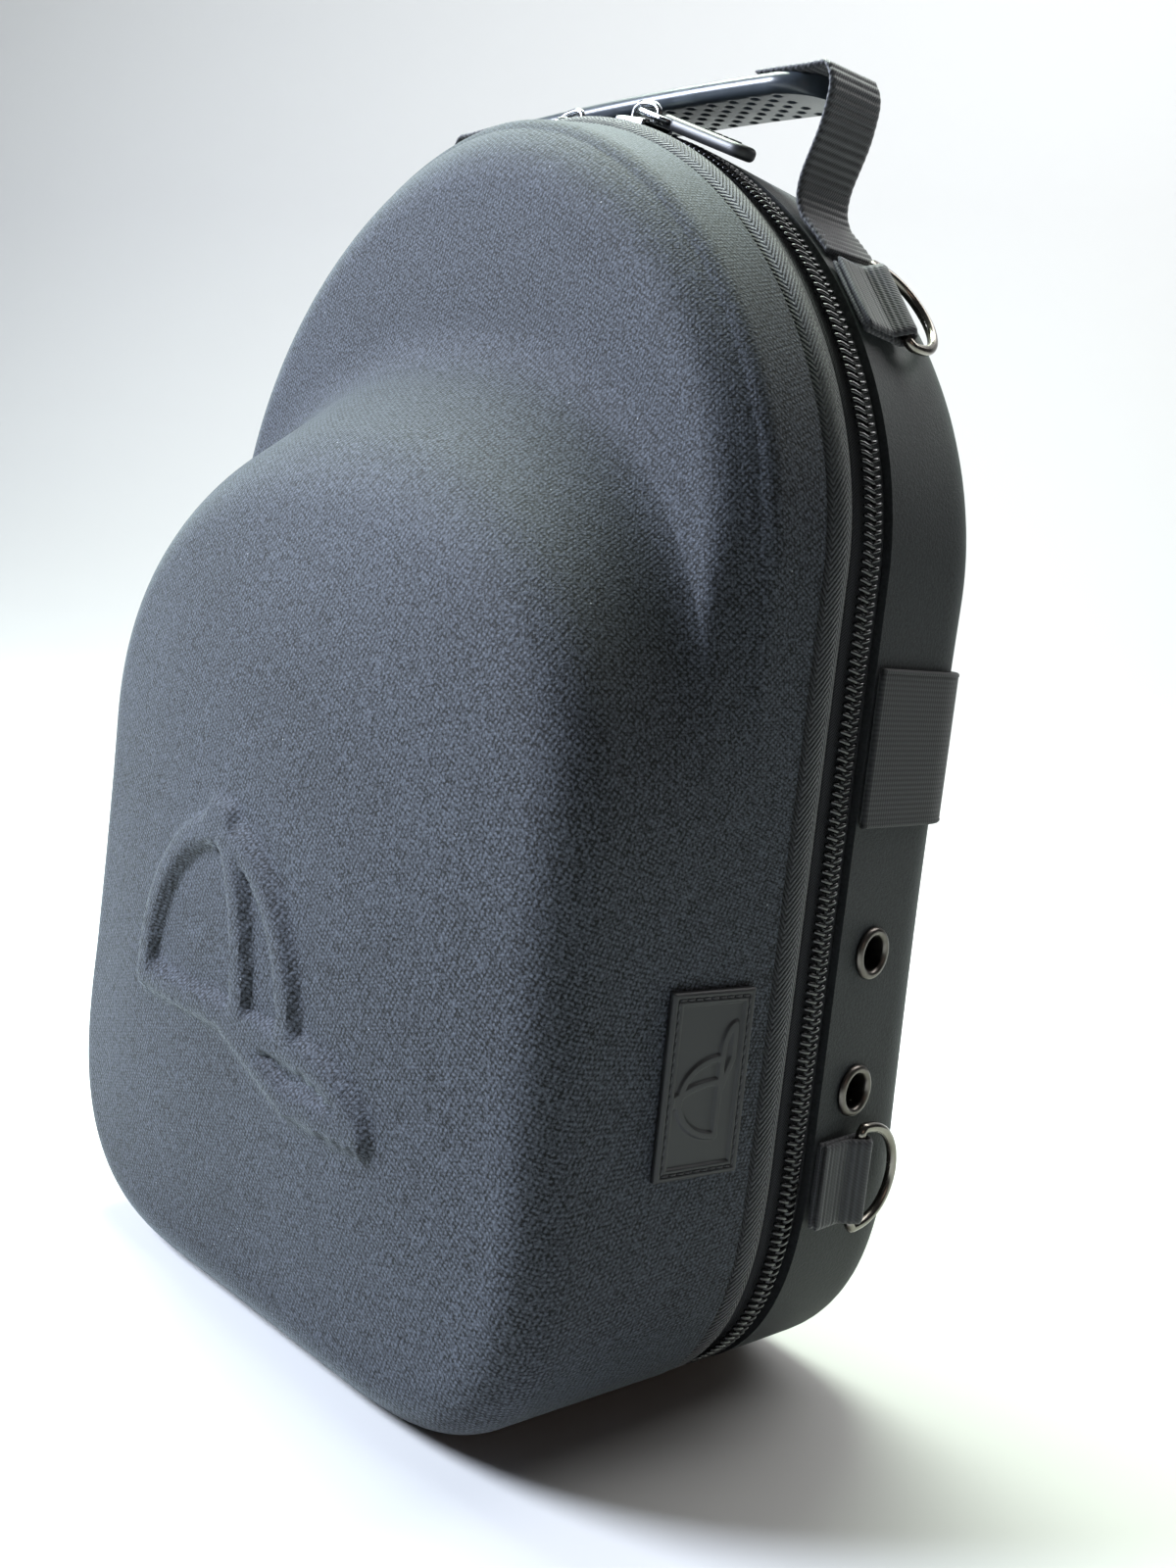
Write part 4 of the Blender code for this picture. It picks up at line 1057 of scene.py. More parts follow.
class CAPCASE_OT_zip_tape(bpy.types.Operator):
    """Lays the zip's tape and the hinge strip"""

    bl_idname = "capcase.zip_tape"
    bl_label = "Zip tape"

    def execute(self, context):
        width = TAPE_FRONT + TAPE_BACK
        middle = Matrix.Translation((0, (TAPE_BACK - TAPE_FRONT) / 2, 0)) @ UPRIGHT
        weave = zip_tape_weave()
        tape = ribbon("zip_tape_weave", zip_path(TAPE_SINK, 500), width, TAPE_THICKNESS, middle, step=0.002)
        dress(tape, weave, "case", ["zip_tape"])
        end = ZIP_STOP_X - GAP
        path = np.array([(-end, TAPE_SINK), (end, TAPE_SINK)])
        strip = ribbon("hinge_strip_weave", path, width, TAPE_THICKNESS, middle, step=0.002)
        dress(strip, weave, "case", ["hinge_strip"])
        return {"FINISHED"}


class CAPCASE_OT_zip_coil(bpy.types.Operator):
    """Forms the zip's two rows of interlocked coil turns"""

    bl_idname = "capcase.zip_coil"
    bl_label = "Zip coil"

    def execute(self, context):
        pitch = context.scene.cap_case_sizes.tooth_pitch
        base = TAPE_SINK - TAPE_THICKNESS / 2 - GAP
        outline = zip_path(base, 1600)
        lengths = path_lengths(outline)
        normals = outline_normals(outline)
        count = int(lengths[-1] / pitch)
        wire = 0.00054
        half = CHAIN_WIDTH / 2
        crest = CHAIN_THICKNESS - wire
        sides = 6
        shape = [(1.0, 0.10), (0.97, 0.62), (0.80, 0.95), (0.50, 1.0), (0.18, 0.97), (-0.06, 0.80), (-0.10, 0.35)]
        sections = len(shape)
        vertices, faces = [], []
        ring = circle(1.0, sides)
        for row in (-1, 1):
            for k in range(count):
                centre = (k + (0.25 if row > 0 else 0.75)) * pitch
                if centre >= lengths[-1]:
                    continue
                start = len(vertices)
                for s, (reach, rise) in enumerate(shape):
                    station = centre + (reach - 0.5) * 0.42 * pitch
                    point = np.array([np.interp(station, lengths, outline[:, a]) for a in (0, 1)])
                    normal = np.array([np.interp(station, lengths, normals[:, a]) for a in (0, 1)])
                    along = np.array([-normal[1], normal[0]])
                    across = row * reach * (half - wire)
                    lift = wire + rise * (crest - wire)
                    thick = wire * (1.15 if 0 < s < sections - 1 else 0.75)
                    step = np.array(shape[min(s + 1, sections - 1)]) - np.array(shape[max(s - 1, 0)])
                    step = step * [half * row, crest]
                    step /= np.linalg.norm(step)
                    for u, v in ring:
                        spread = u * thick * 0.95
                        side = v * thick
                        y = across - step[1] * side
                        height = lift + abs(step[0]) * side
                        place = point + normal * height + along * spread
                        vertices.append((place[0], y, place[1]))
                for s in range(sections - 1):
                    for v in range(sides):
                        a = start + s * sides + v
                        b = start + s * sides + (v + 1) % sides
                        faces.append((a, b, b + sides, a + sides))
                faces.append(tuple(start + v for v in reversed(range(sides))))
                faces.append(tuple(start + (sections - 1) * sides + v for v in range(sides)))
        mesh = bpy.data.meshes.new("zip_coil_turns")
        mesh.from_pydata(vertices, [], faces)
        mesh.validate()
        mesh.shade_smooth()
        coil = outward(add_object("zip_coil_turns", mesh))
        dress(coil, coil_nylon(), "case", ["zip_chain"])
        return {"FINISHED"}


def slider_frame(x):
    """Place on the coil's crest at this x: local X along the zip to the right, local Z outwards."""
    side = 1 if x > 0 else -1
    point, normal = outline_place(side, x=x)
    along = Vector((normal.z, 0, -normal.x))
    matrix = Matrix((along, normal.cross(along), normal)).transposed().to_4x4()
    inset = TAPE_SINK - TAPE_THICKNESS / 2 - GAP - CHAIN_THICKNESS
    matrix.translation = point - normal * inset
    return matrix


def pull_frame(x, side):
    """The pull's hinge: origin under the bridge, local Y along the hinge, local X along the pull."""
    matrix = slider_frame(x)
    axis = matrix @ Vector((0, 0, SLIDER_CHAIN_GAP + SLIDER_WALL + PULL_AXIS_HEIGHT))
    reach = LINK_LENGTH + PULL_TAB_LENGTH - PULL_NECK_LENGTH
    outline = np.concatenate([half_outline(), half_outline()[::-1][1:] * [-1, 1]])
    lengths = path_lengths(outline)
    seat = outline + outline_normals(outline) * (PULL_TAB_THICKNESS / 2 + RUNNING_GAP)
    start = lengths[np.argmin(np.linalg.norm(outline - [axis.x, axis.z], axis=1))]
    away = (start - lengths) * side
    steps = seat[(away > LINK_LENGTH / 2) & (away < reach)] - [axis.x, axis.z]
    angle = np.arctan2(steps[:, 1], steps[:, 0] * side).max()
    along = Vector((side * math.cos(angle), 0, math.sin(angle)))
    hinge = Vector((0, 1, 0))
    matrix = Matrix((along, hinge, along.cross(hinge))).transposed().to_4x4()
    matrix.translation = axis
    return matrix


def soft_plate(name, outline, thickness, edge, matrix, levels=3):
    """A flat outline with rounded edges: rings of the outline shrink as they rise and fall."""
    outline = np.array(outline)
    closed = outline_normals(outline, closed=True)
    area = np.sum(outline[:, 0] * np.roll(outline[:, 1], -1) - np.roll(outline[:, 0], -1) * outline[:, 1])
    inward = -closed if area > 0 else closed
    half = thickness / 2
    profile = []
    for k in range(levels + 1):
        angle = k / levels * math.pi / 2
        profile.append((edge * (1 - math.cos(angle)), half - edge + edge * math.sin(angle)))
    steps = [(inset, -rise) for inset, rise in reversed(profile)] + profile
    points = np.zeros((len(steps), len(outline), 3))
    for k, (inset, rise) in enumerate(steps):
        points[k, :, :2] = outline + inward * inset
        points[k, :, 2] = rise
    lengths = path_lengths(np.array(steps))
    around = path_lengths(np.concatenate([outline, outline[:1]]))
    return outward(surface(name, points, lengths, around, matrix, False, True, caps=True))


class CAPCASE_OT_sliders(bpy.types.Operator):
    """Casts the two zip sliders with their bridges"""

    bl_idname = "capcase.sliders"
    bl_label = "Zip sliders"

    def execute(self, context):
        metal = plated_metal("gunmetal plated zinc", context.scene.cap_case_colors.slider_metal, 0.24, 2 * MM)
        inner = CHAIN_WIDTH / 2 + SLIDER_CHAIN_GAP
        outer = inner + SLIDER_WALL
        top = SLIDER_CHAIN_GAP + SLIDER_WALL
        for name, x in SLIDER_X.items():
            matrix = slider_frame(x)
            half = SLIDER_LENGTH / 2
            plate_line = []
            for k in range(40):
                angle = k / 40 * math.tau
                c, s = math.cos(angle), math.sin(angle)
                square = (abs(c) ** 5 + abs(s) ** 5) ** (-1 / 5)
                waist = 1 - 0.07 * math.cos(angle * 2 + math.pi)
                plate_line.append((c * square * half, s * square * outer * min(waist, 1.0)))
            plate = soft_plate(
                f"{name}_plate", plate_line, SLIDER_WALL, SLIDER_WALL * 0.42,
                matrix @ Matrix.Translation((0, 0, SLIDER_CHAIN_GAP + SLIDER_WALL / 2)),
            )
            parts = [plate]
            low = GAP - CHAIN_THICKNESS
            for sign in (-1, 1):
                reach, high = half * 0.94, top - 0.2 * MM
                corners = [(-reach, low), (reach, low), (reach, high), (-reach, high)]
                flange_line = resampled(np.array(corners + corners[:1]), 28)[:-1]
                flange = soft_plate(
                    f"{name}_flange", flange_line, SLIDER_WALL, SLIDER_WALL * 0.35,
                    matrix @ Matrix.Translation((0, sign * (outer - SLIDER_WALL / 2), 0)) @ UPRIGHT,
                )
                parts.append(flange)
            span = BRIDGE_SPAN / 2
            rise = BRIDGE_HEIGHT - BRIDGE_WIRE / 2
            root = top - SLIDER_WALL / 2
            corners = [(-span, root), (-span, top + rise), (span, top + rise), (span, root)]
            bow = resampled(rounded(corners, [0, rise * 0.8, rise * 0.8, 0]), 40)
            flat = [(u * 0.85, v * 1.1) for u, v in circle(BRIDGE_WIRE / 2, 16)]
            parts.append(sweep(f"{name}_bridge", [(u, 0, v) for u, v in bow], flat, matrix, side=(0, 1, 0)))
            for end in (-1, 1):
                foot = soft_plate(
                    f"{name}_foot",
                    [(u * 1.25 + end * span, v * 1.5) for u, v in circle(BRIDGE_WIRE / 2, 24)],
                    0.7 * MM, 0.3 * MM, matrix @ Matrix.Translation((0, 0, top + 0.2 * MM)),
                )
                parts.append(foot)
            slider = join(f"zip_slider_{name}", parts)
            slider.data.shade_smooth()
            dress(slider, metal, "case", [f"slider_{name}"])
        return {"FINISHED"}


def bent_loop(length, width, corner, steps=8):
    """A rounded rectangle as points (x, y), from x = 0 to x = length."""
    points = []
    centres = [
        (length - corner, width / 2 - corner),
        (corner, width / 2 - corner),
        (corner, corner - width / 2),
        (length - corner, corner - width / 2),
    ]
    for quarter, (x, y) in enumerate(centres):
        for k in range(steps + 1):
            angle = (quarter + k / steps) * math.pi / 2
            points.append((x + corner * math.cos(angle), y + corner * math.sin(angle)))
    return points


class CAPCASE_OT_pulls(bpy.types.Operator):
    """Hangs a wire link and a rubber tab on each slider"""

    bl_idname = "capcase.pulls"
    bl_label = "Zip pulls"

    def execute(self, context):
        colors = context.scene.cap_case_colors
        metal = plated_metal("gunmetal plated wire", colors.slider_metal, 0.22, 1.5 * MM)
        rubber = moulded_rubber("soft moulded pull rubber", colors.rubber_dark, colors.rubber_light, 0.42)
        for name, x in SLIDER_X.items():
            matrix = pull_frame(x, SIDES[name])
            loop = bent_loop(LINK_LENGTH, LINK_WIDTH, LINK_WIRE * 1.1)
            path = resampled(np.array(loop + loop[:1]), 64)[:-1]
            wire = circle(LINK_WIRE / 2, 14)
            link = sweep(f"link_wire_{name}", [(u, v, 0) for u, v in path], wire, matrix, True)
            dress(link, metal, f"pull_{name}", [f"pull_link_{name}"])
            start = LINK_LENGTH - LINK_WIRE * 1.6 - RUNNING_GAP
            end = start + PULL_TAB_LENGTH
            half = PULL_TAB_WIDTH / 2
            neck = (LINK_WIDTH - LINK_WIRE) / 2 - RUNNING_GAP
            upper = [(start, neck * 0.2), (start + neck * 0.1, neck * 0.8), (start + neck * 0.6, neck)]
            upper += [(LINK_LENGTH + LINK_WIRE / 2 + RUNNING_GAP, neck), (LINK_LENGTH + 3.2 * MM, half)]
            upper += [(end - half * 0.9 + half * 0.9 * math.sin(a), half * math.cos(a) ** 0.8)
                      for a in np.linspace(0, math.pi / 2 - 0.02, 12)]
            line = upper + [(u, -v) for u, v in reversed(upper)]
            line = resampled(np.array(line + line[:1]), 110)[:-1]
            edge = PULL_TAB_THICKNESS * 0.42
            tab = soft_plate(f"tab_body_{name}", line, PULL_TAB_THICKNESS, edge, matrix, 5)
            parts = [tab]
            for k in range(5):
                at = start + PULL_TAB_LENGTH * (0.50 + 0.075 * k)
                rise = PULL_TAB_THICKNESS / 2 - 0.15 * MM
                rib_path = [(at, v, rise) for v in np.linspace(-half * 0.55, half * 0.55, 9)]
                rib = sweep(f"rib_{name}_{k}", rib_path, circle(0.42 * MM, 10), matrix, side=(0, 0, 1))
                parts.append(rib)
            pull = join(f"tab_rubber_{name}", parts)
            pull.data.shade_smooth()
            dress(pull, rubber, f"pull_{name}", [f"pull_tab_{name}"])
        return {"FINISHED"}


def grip_rise(x):
    return GRIP_RISE * (1 - (2 * x / GRIP_LENGTH) ** 2)


class CAPCASE_OT_grip(bpy.types.Operator):
    """Moulds the handle's grip, with its dimpled underside"""

    bl_idname = "capcase.grip"
    bl_label = "Grip"

    def execute(self, context):
        pitch = context.scene.cap_case_sizes.dimple_pitch
        stations = np.linspace(-GRIP_LENGTH / 2, GRIP_LENGTH / 2, 360)
        half = GRIP_WIDTH / 2
        soft = GRIP_THICKNESS / 2
        under = np.linspace(-half + soft, half - soft, 56)
        edge = np.linspace(-math.pi / 2, math.pi / 2, 14)[1:-1]
        section = [(y, 0.0) for y in under]
        section += [(half - soft + soft * math.cos(a), soft + soft * math.sin(a)) for a in edge]
        section += [(y, GRIP_THICKNESS) for y in np.linspace(half - soft, soft - half, 16)]
        section += [(soft - half - soft * math.cos(a), soft + soft * math.sin(a)) for a in edge[::-1]]
        section = np.array(section)
        points = np.zeros((len(stations), len(section), 3))
        for r, x in enumerate(stations):
            from_end = GRIP_LENGTH / 2 - abs(x)
            close = math.sqrt(max(1 - (1 - min(from_end / (GRIP_WIDTH * 0.45), 1)) ** 2, 0.02))
            y = section[:, 0] * close
            z = section[:, 1].copy()
            row = np.round(x / (pitch * 0.7))
            offset = (row % 2) * pitch / 2
            nearest = np.round((y - offset) / pitch) * pitch + offset
            distance = np.hypot(x - row * pitch * 0.7, y - nearest)
            flat = (section[:, 1] == 0) & (abs(y) < half * close - 2.2 * MM)
            if from_end > 7 * MM:
                z += np.where(flat, 0.8 * MM * smooth_share((1.15 * MM - distance) / (0.5 * MM)), 0)
            z += 0.5 * MM * np.where(section[:, 1] > soft, 1 - (section[:, 0] / half) ** 2, 0)
            points[r, :, 0] = x
            points[r, :, 1] = HANDLE_DEPTH + y
            points[r, :, 2] = GRIP_UNDERSIDE + grip_rise(x) + z
        around = path_lengths(np.concatenate([section, section[:1]]))
        grip = surface("grip_body", points, stations - stations[0], around, Matrix(), False, True, caps=True)
        outward(grip)
        colors = context.scene.cap_case_colors
        rubber = moulded_rubber("satin moulded grip rubber", colors.grip_dark, colors.grip_light, 0.3)
        dress(grip, rubber, "case", ["handle_grip"])
        return {"FINISHED"}


def strap_path(side):
    """Middle line of one handle strap as points (x, z), foot on the shell to lap on the grip."""
    outline = half_outline()
    lengths = path_lengths(outline)
    tab = int(np.argmin(np.abs(outline[:, 1] - TAB_HEIGHTS["upper"])))
    foot_start = lengths[tab] + RING_INNER_WIDTH / 2 + RING_WIRE + RUNNING_GAP
    stops = foot_start + np.linspace(0, STRAP_FOOT_LENGTH, 4)
    lift = STRAP_THICKNESS / 2 + GAP - BACK_DRAFT * rim_depth_back()
    normals = outline_normals(outline)
    normals = np.stack([np.interp(stops, lengths, normals[:, k]) for k in range(2)], axis=1)
    foot = at_lengths(outline, stops) + normals * lift
    end = GRIP_LENGTH / 2
    above = GRIP_UNDERSIDE + GRIP_THICKNESS + GAP + STRAP_THICKNESS / 2
    waist = foot[-1] + [-STRAP_WAIST_RISE * 0.35, STRAP_WAIST_RISE]
    bulge = end + STRAP_END_BULGE
    turn = [waist, (bulge, GRIP_UNDERSIDE - GRIP_THICKNESS), (bulge, above)]
    lap = [(x, above + grip_rise(x)) for x in np.linspace(end, end - STRAP_TOP_LAP, 4)]
    reaches = [0, 0, 0, 0.003, 0.005, 0.008, 0.006, 0.001, 0.001, 0.001, 0]
    return resampled(rounded(np.concatenate([foot, turn, lap]), reaches), 200) * [side, 1]


class CAPCASE_OT_straps(bpy.types.Operator):
    """Weaves the handle's two straps"""

    bl_idname = "capcase.straps"
    bl_label = "Handle straps"

    def execute(self, context):
        weave = webbing_weave()
        pitch = context.scene.cap_case_sizes.web_rib_pitch
        for name, side in SIDES.items():
            matrix = Matrix.Translation((0, HANDLE_DEPTH, 0)) @ UPRIGHT
            strap = ribbon(
                f"strap_weave_{name}", strap_path(side), STRAP_WIDTH, STRAP_THICKNESS, matrix, pitch, STRAP_RIB,
                columns=20,
            )
            dress(strap, weave, "case", [f"handle_strap_{name}"])
        return {"FINISHED"}


def tab_frame(side, height):
    """Place of a webbing tab at the seam: local X runs back along the wall, local Y out of it."""
    start = rim_depth_back()
    on_arch = height > ARCH_SPRING
    seat = height if on_arch else max(height + TAB_WIDTH / 2, CORNER_REACH)
    origin = wall_point(side, seat, start, BACK_DRAFT, 1)
    back = wall_point(side, seat, start + TAB_REACH, BACK_DRAFT, 1) - origin
    if on_arch:
        out = wall_frame(side, height, start, BACK_DRAFT, 1).to_3x3().col[2]
    else:
        out = Vector((side, 0, 0))
        back.z = 0
        origin.z = height
    back.normalize()
    out = (out - back * out.dot(back)).normalized()
    matrix = Matrix((back, out, back.cross(out))).transposed().to_4x4()
    matrix.translation = origin
    return matrix


def tab_path():
    """Folded webbing as points (back, out): up to the ring's bar, round it and back."""
    bar = TAB_REACH
    loop = RING_WIRE / 2 + RUNNING_GAP + TAB_THICKNESS / 2
    under = GAP + TAB_THICKNESS / 2
    middle = under + loop
    turn = [(bar + loop * math.sin(a), middle - loop * math.cos(a)) for a in np.linspace(0, math.pi, 25)]
    over = under + TAB_THICKNESS + GAP
    start = GAP + RUNNING_GAP
    meet = bar - loop * 1.8
    return np.array([(start, under), (meet, under)] + turn + [(meet, over), (start, over)])


def ring_bar_height():
    return GAP + TAB_THICKNESS + RUNNING_GAP + RING_WIRE / 2


def ring_path():
    """Middle line of a D-ring as points (back, along): a straight bar and a round bow."""
    half = (RING_INNER_WIDTH + RING_WIRE) / 2
    depth = RING_INNER_DEPTH + RING_WIRE
    angles = np.linspace(-math.pi / 2, math.pi / 2, 61)[1:-1]
    bow = [(depth * math.cos(a) ** 0.8, half * math.sin(a)) for a in angles]
    corner = RING_WIRE * 0.4
    bar = [(corner, half), (0, half - corner)] + [(0, v) for v in np.linspace(half * 0.8, -half * 0.8, 9)]
    return bow + bar + [(0, corner - half), (corner, -half)]


class CAPCASE_OT_rings(bpy.types.Operator):
    """Folds the webbing tabs and bends their D-rings"""

    bl_idname = "capcase.rings"
    bl_label = "D-rings"

    def execute(self, context):
        weave = webbing_weave()
        metal = plated_metal("nickel plated wire", context.scene.cap_case_colors.ring_metal, 0.22, 2.5 * MM)
        pitch = context.scene.cap_case_sizes.web_rib_pitch * 0.7
        for level, height in TAB_HEIGHTS.items():
            for name, side in SIDES.items():
                matrix = tab_frame(side, height)
                tab = ribbon(
                    f"tab_weave_{level}_{name}", tab_path(), TAB_WIDTH, TAB_THICKNESS, matrix, pitch, TAB_RIB,
                    step=0.0003, columns=20,
                )
                dress(tab, weave, "case", [f"ring_tab_{level}_{name}"])
                bar = matrix @ Matrix.Translation((TAB_REACH, ring_bar_height(), 0))
                path = ring_path()
                path = resampled(np.array(path + path[:1]), 150)[:-1]
                ring = sweep(
                    f"ring_wire_{level}_{name}", [(b, 0, a) for b, a in path], circle(RING_WIRE / 2, 16), bar, True,
                    side=(0, 1, 0),
                )
                dress(ring, metal, f"d_ring_{level}_{name}", [f"ring_{level}_{name}"])
        return {"FINISHED"}


class CAPCASE_OT_band(bpy.types.Operator):
    """Stretches the elastic band round the back shell"""

    bl_idname = "capcase.band"
    bl_label = "Elastic band"

    def execute(self, context):
        out = BAND_SEAT + BAND_THICKNESS / 2
        start = rim_depth_back() + RUNNING_GAP
        half = CASE_WIDTH / 2
        corners = [
            (half - BACK_DRAFT * start + out, start),
            (half - BACK_DRAFT * BACK_DEPTH + out, BACK_DEPTH + out),
            (0, BACK_DEPTH + out),
        ]
        right = rounded(corners, [BACK_EDGE_REACH] * 3)
        path = resampled(np.concatenate([right, right[::-1][1:] * [-1, 1]]), 400)
        matrix = Matrix.Translation((0, 0, BAND_HEIGHT))
        band = ribbon("band_weave", path, BAND_WIDTH, BAND_THICKNESS, matrix, step=0.0011, columns=40)
        hems = []
        for sign in (-1, 1):
            hem_path = [(x, y, sign * (BAND_WIDTH / 2 - 0.6 * MM)) for x, y in resampled(path, 200)]
            hem = [(u * 1.1, v * 1.25) for u, v in circle(0.62 * MM, 10)]
            hems.append(sweep("band_hem", hem_path, hem, matrix, side=(0, 0, 1)))
        band = join("elastic_band_weave", [band] + hems)
        band.data.shade_smooth()
        dress(band, elastic_weave(), "case", ["elastic_band"])
        return {"FINISHED"}


class CAPCASE_OT_eyelets(bpy.types.Operator):
    """Rolls the eyelets through the back shell's sides"""

    bl_idname = "capcase.eyelets"
    bl_label = "Eyelets"

    def execute(self, context):
        metal = plated_metal("black plated brass", context.scene.cap_case_colors.eyelet_metal, 0.32, 1.5 * MM)
        hole = EYELET_HOLE / 2
        outer = EYELET_OUTER / 2
        barrel = hole + EYELET_BARREL_WALL
        middle = (hole + outer) / 2
        bead = (outer - hole) / 2
        bend = np.linspace(0, math.pi, 15)
        profile = [(middle - bead * math.cos(a), GAP + EYELET_RISE * math.sin(a) ** 0.8) for a in bend]
        profile += [(barrel, GAP), (barrel, -SHELL_WALL - GAP), (hole, -SHELL_WALL - GAP), (hole, -SHELL_WALL / 2)]
        profile = np.array(profile)
        lengths = path_lengths(np.concatenate([profile, profile[:1]]))
        turns = np.linspace(0, math.tau, 57)[:-1]
        points = np.zeros((len(turns), len(profile), 3))
        points[..., 0] = np.cos(turns)[:, None] * profile[None, :, 0]
        points[..., 1] = np.sin(turns)[:, None] * profile[None, :, 0]
        points[..., 2] = profile[None, :, 1]
        around = np.linspace(0, math.tau * middle, 57)
        for level, height in EYELET_HEIGHTS.items():
            for name, side in SIDES.items():
                matrix = wall_frame(side, height, EYELET_DEPTH, BACK_DRAFT, 1)
                bead_name = f"eyelet_bead_{level}_{name}"
                eyelet = outward(surface(bead_name, points, around, lengths, matrix, True, True))
                dress(eyelet, metal, "case", [f"eyelet_{level}_{name}"])
        return {"FINISHED"}


class CAPCASE_OT_label(bpy.types.Operator):
    """Moulds the rubber label with its border, groove and sign"""

    bl_idname = "capcase.label"
    bl_label = "Label"

    def execute(self, context):
        matrix = wall_frame(1, LABEL_HEIGHT, LABEL_DEPTH, SIDE_DRAFT, -1)
        half = np.array([LABEL_WIDTH / 2, LABEL_LENGTH / 2])
        us = np.linspace(-half[0], half[0], 112)
        vs = np.linspace(-half[1], half[1], 200)
        u, v = np.meshgrid(us, vs, indexing="ij")
        inside = np.minimum(half[0] - abs(u), half[1] - abs(v))
        border = smooth_share((3.0 * MM - inside) / (0.5 * MM)) * 0.55 * MM
        groove = -smooth_share((0.45 * MM - abs(inside - 1.5 * MM)) / (0.3 * MM)) * 0.35 * MM
        edge = -smooth_share((0.5 * MM - inside) / (0.5 * MM)) * 0.4 * MM
        sign = cap_sign_height(v + 0.5 * MM, -u, 13.5 * MM, 1.7 * MM, 0.5 * MM) * 0.5 * MM
        height = LABEL_THICKNESS * 0.62 + GAP + border + groove + edge + sign
        top = np.stack([u, v, height], axis=-1)
        obj = surface("side_label_top", top, us + half[0], vs + half[1], matrix)
        bm = bmesh.new()
        bm.from_mesh(obj.data)
        rim = [edge for edge in bm.edges if edge.is_boundary]
        made = bmesh.ops.extrude_edge_only(bm, edges=rim)
        for vert in (item for item in made["geom"] if isinstance(item, bmesh.types.BMVert)):
            vert.co.z = GAP
        lower = [edge for edge in bm.edges if edge.is_boundary]
        bmesh.ops.contextual_create(bm, geom=lower)
        bmesh.ops.recalc_face_normals(bm, faces=bm.faces)
        bm.to_mesh(obj.data)
        bm.free()
        obj.name = "side_label_plate"
        colors = context.scene.cap_case_colors
        rubber = moulded_rubber("moulded label rubber", colors.rubber_dark, colors.rubber_light, 0.5)
        dress(obj, rubber, "case", ["side_label"])
        stitches = []
        inset = 1.5 * MM
        a, b = half - inset
        rows = [((-a, -b), (a, -b), 9), ((a, -b), (a, b), 17), ((a, b), (-a, b), 9), ((-a, b), (-a, -b), 17)]
        level = matrix @ Matrix.Translation((0, 0, LABEL_THICKNESS * 0.62 + GAP + 0.25 * MM))
        for k, (start, end, count) in enumerate(rows):
            stitches += stitch_row(f"stitch_{k}", start, end, count, level)
        sewn = join("label_stitches", stitches)
        dress(sewn, thread_floss(), "case")
        return {"FINISHED"}


# Each light's name, place, width in metres, power in watts and colour
LIGHTS = [
    ("key", (-0.85, -0.95, 0.95), 0.6, 76, "#e4edff"),
    ("top", (-0.40, 0.20, 1.30), 0.8, 38, "#f0fff0"),
    ("fill", (1.40, -0.30, 0.65), 0.5, 0.7, "#ffdcc8"),
    ("backdrop", (0.10, 1.05, 1.50), 1.6, 36, "#ffffff"),
]


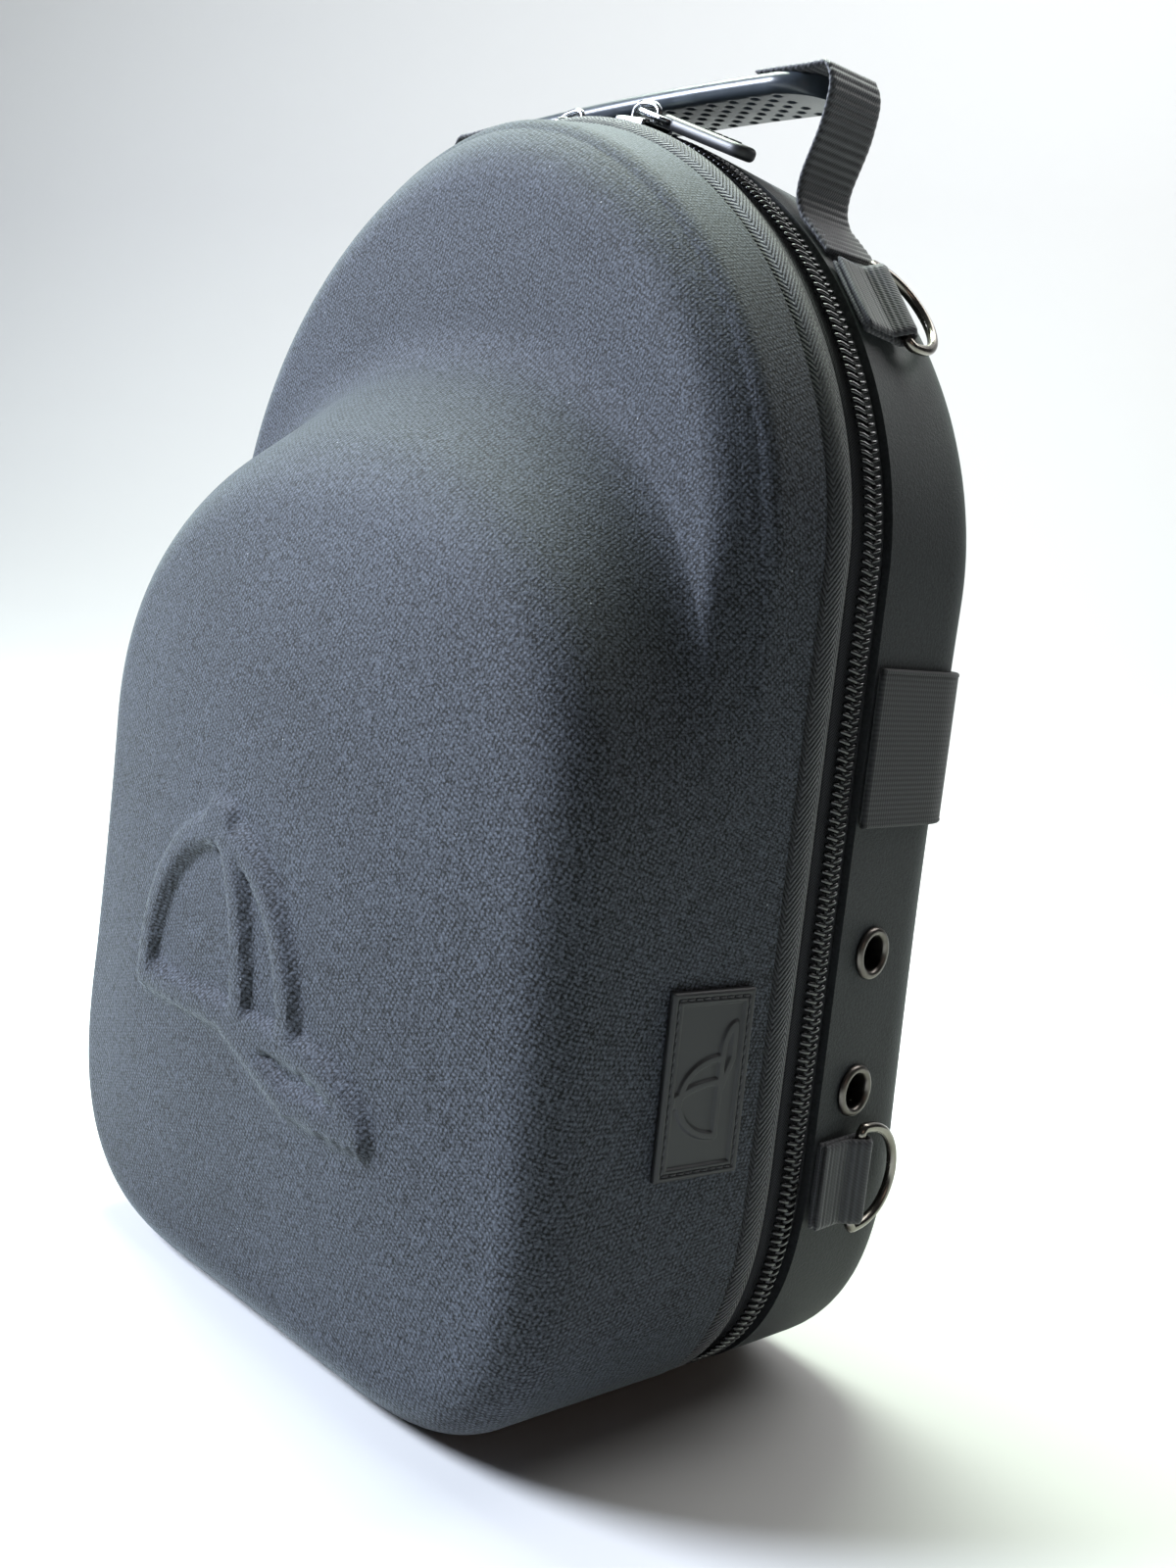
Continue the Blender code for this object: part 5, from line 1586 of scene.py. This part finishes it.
class CAPCASE_OT_studio(bpy.types.Operator):
    """Sets the floor, the lights and the camera"""

    bl_idname = "capcase.studio"
    bl_label = "Studio"

    def execute(self, context):
        studio = context.scene.cap_case_studio
        profile = np.array([(-2.5, 0.0), (1.2, 0.0), (1.7, 0.08), (2.0, 0.4), (2.05, 2.6)])
        bend = rounded(profile, [0.3] * 5, 60)
        points = np.zeros((len(bend), 2, 3))
        points[:, 0] = np.stack([np.full(len(bend), -3.0), bend[:, 0], bend[:, 1]], axis=1)
        points[:, 1] = np.stack([np.full(len(bend), 3.0), bend[:, 0], bend[:, 1]], axis=1)
        sweep_back = surface("studio_floor", points, path_lengths(bend), np.array([0.0, 6.0]))
        turned = Matrix.Rotation(math.radians(studio.camera_azimuth), 4, "Z")
        sweep_back.matrix_world = turned @ Matrix.Translation((0, 0, -0.0002))
        paper, tree, shader = start_material("matt backdrop paper", Roughness=0.9, Specular_IOR_Level=0.1)
        shader.inputs["Base Color"].default_value = linear(studio.floor_color)
        sweep_back.data.materials.append(paper)
        for name, spot, size, power, color in LIGHTS:
            data = bpy.data.lights.new(name, "AREA")
            data.shape = "DISK"
            data.size = size
            data.energy = power
            data.color = linear(color)[:3]
            lamp = bpy.data.objects.new(name, data)
            lamp.location = spot
            target = Vector((0, 0, 0.15)) if name != "backdrop" else Vector((-1.2, 1.3, 0.5))
            lamp.rotation_euler = (target - Vector(spot)).to_track_quat("-Z", "Y").to_euler()
            context.scene.collection.objects.link(lamp)
        world = bpy.data.worlds.new("studio")
        world.use_nodes = True
        background = world.node_tree.nodes["Background"]
        background.inputs[0].default_value = linear("#eef2f6")
        # The room looks pale from every side, and gives the case only a little light
        seen = add_node(world.node_tree, "ShaderNodeLightPath").outputs["Is Camera Ray"]
        strength = calculate(world.node_tree, "MULTIPLY_ADD", seen, 0.85, 0.05)
        world.node_tree.links.new(strength, background.inputs[1])
        context.scene.world = world
        context.scene.view_settings.view_transform = "Standard"
        azimuth, elevation, roll = (
            math.radians(angle) for angle in (studio.camera_azimuth, studio.camera_elevation, studio.camera_roll)
        )
        level = math.cos(elevation)
        back = Vector((math.sin(azimuth) * level, -math.cos(azimuth) * level, math.sin(elevation)))
        right = (-back).cross(Vector((0, 0, 1))).normalized()
        up = right.cross(-back)
        right, up = right * math.cos(roll) + up * math.sin(roll), up * math.cos(roll) - right * math.sin(roll)
        data = bpy.data.cameras.new("studio_camera")
        data.lens = studio.camera_lens
        data.sensor_width = 36
        data.sensor_fit = "AUTO"
        data.clip_start = 0.01
        camera = bpy.data.objects.new("studio_camera", data)
        matrix = Matrix((right, up, back)).transposed().to_4x4()
        matrix.translation = Vector(studio.camera_place)
        camera.matrix_world = matrix
        context.scene.collection.objects.link(camera)
        context.scene.camera = camera
        return {"FINISHED"}


OPERATORS = (
    CAPCASE_OT_studio,
    CAPCASE_OT_front_shell,
    CAPCASE_OT_back_shell,
    CAPCASE_OT_piping,
    CAPCASE_OT_zip_tape,
    CAPCASE_OT_zip_coil,
    CAPCASE_OT_sliders,
    CAPCASE_OT_pulls,
    CAPCASE_OT_grip,
    CAPCASE_OT_straps,
    CAPCASE_OT_rings,
    CAPCASE_OT_band,
    CAPCASE_OT_eyelets,
    CAPCASE_OT_label,
)


class CAPCASE_PT_panel(bpy.types.Panel):
    """Lists the case's operators and settings"""

    bl_idname = "CAPCASE_PT_panel"
    bl_label = "Cap case"
    bl_space_type = "VIEW_3D"
    bl_region_type = "UI"
    bl_category = "Cap case"

    def draw(self, context):
        for operator in OPERATORS:
            self.layout.operator(operator.bl_idname)
        for pointer in GROUPS:
            group = getattr(context.scene, pointer)
            box = self.layout.box()
            for name in group.__annotations__:
                box.prop(group, name)


GROUPS = {"cap_case_sizes": CapCaseSizes, "cap_case_colors": CapCaseColors, "cap_case_studio": CapCaseStudio}


def register():
    for group in GROUPS.values():
        bpy.utils.register_class(group)
    for name, group in GROUPS.items():
        setattr(bpy.types.Scene, name, bpy.props.PointerProperty(type=group))
    for operator in (*OPERATORS, CAPCASE_PT_panel):
        bpy.utils.register_class(operator)


def unregister():
    for operator in reversed((*OPERATORS, CAPCASE_PT_panel)):
        bpy.utils.unregister_class(operator)
    for name, group in GROUPS.items():
        delattr(bpy.types.Scene, name)
        bpy.utils.unregister_class(group)


def main():
    register()
    for operator in OPERATORS:
        getattr(bpy.ops.capcase, operator.bl_idname.split(".")[1])()


if __name__ == "__main__":
    main()
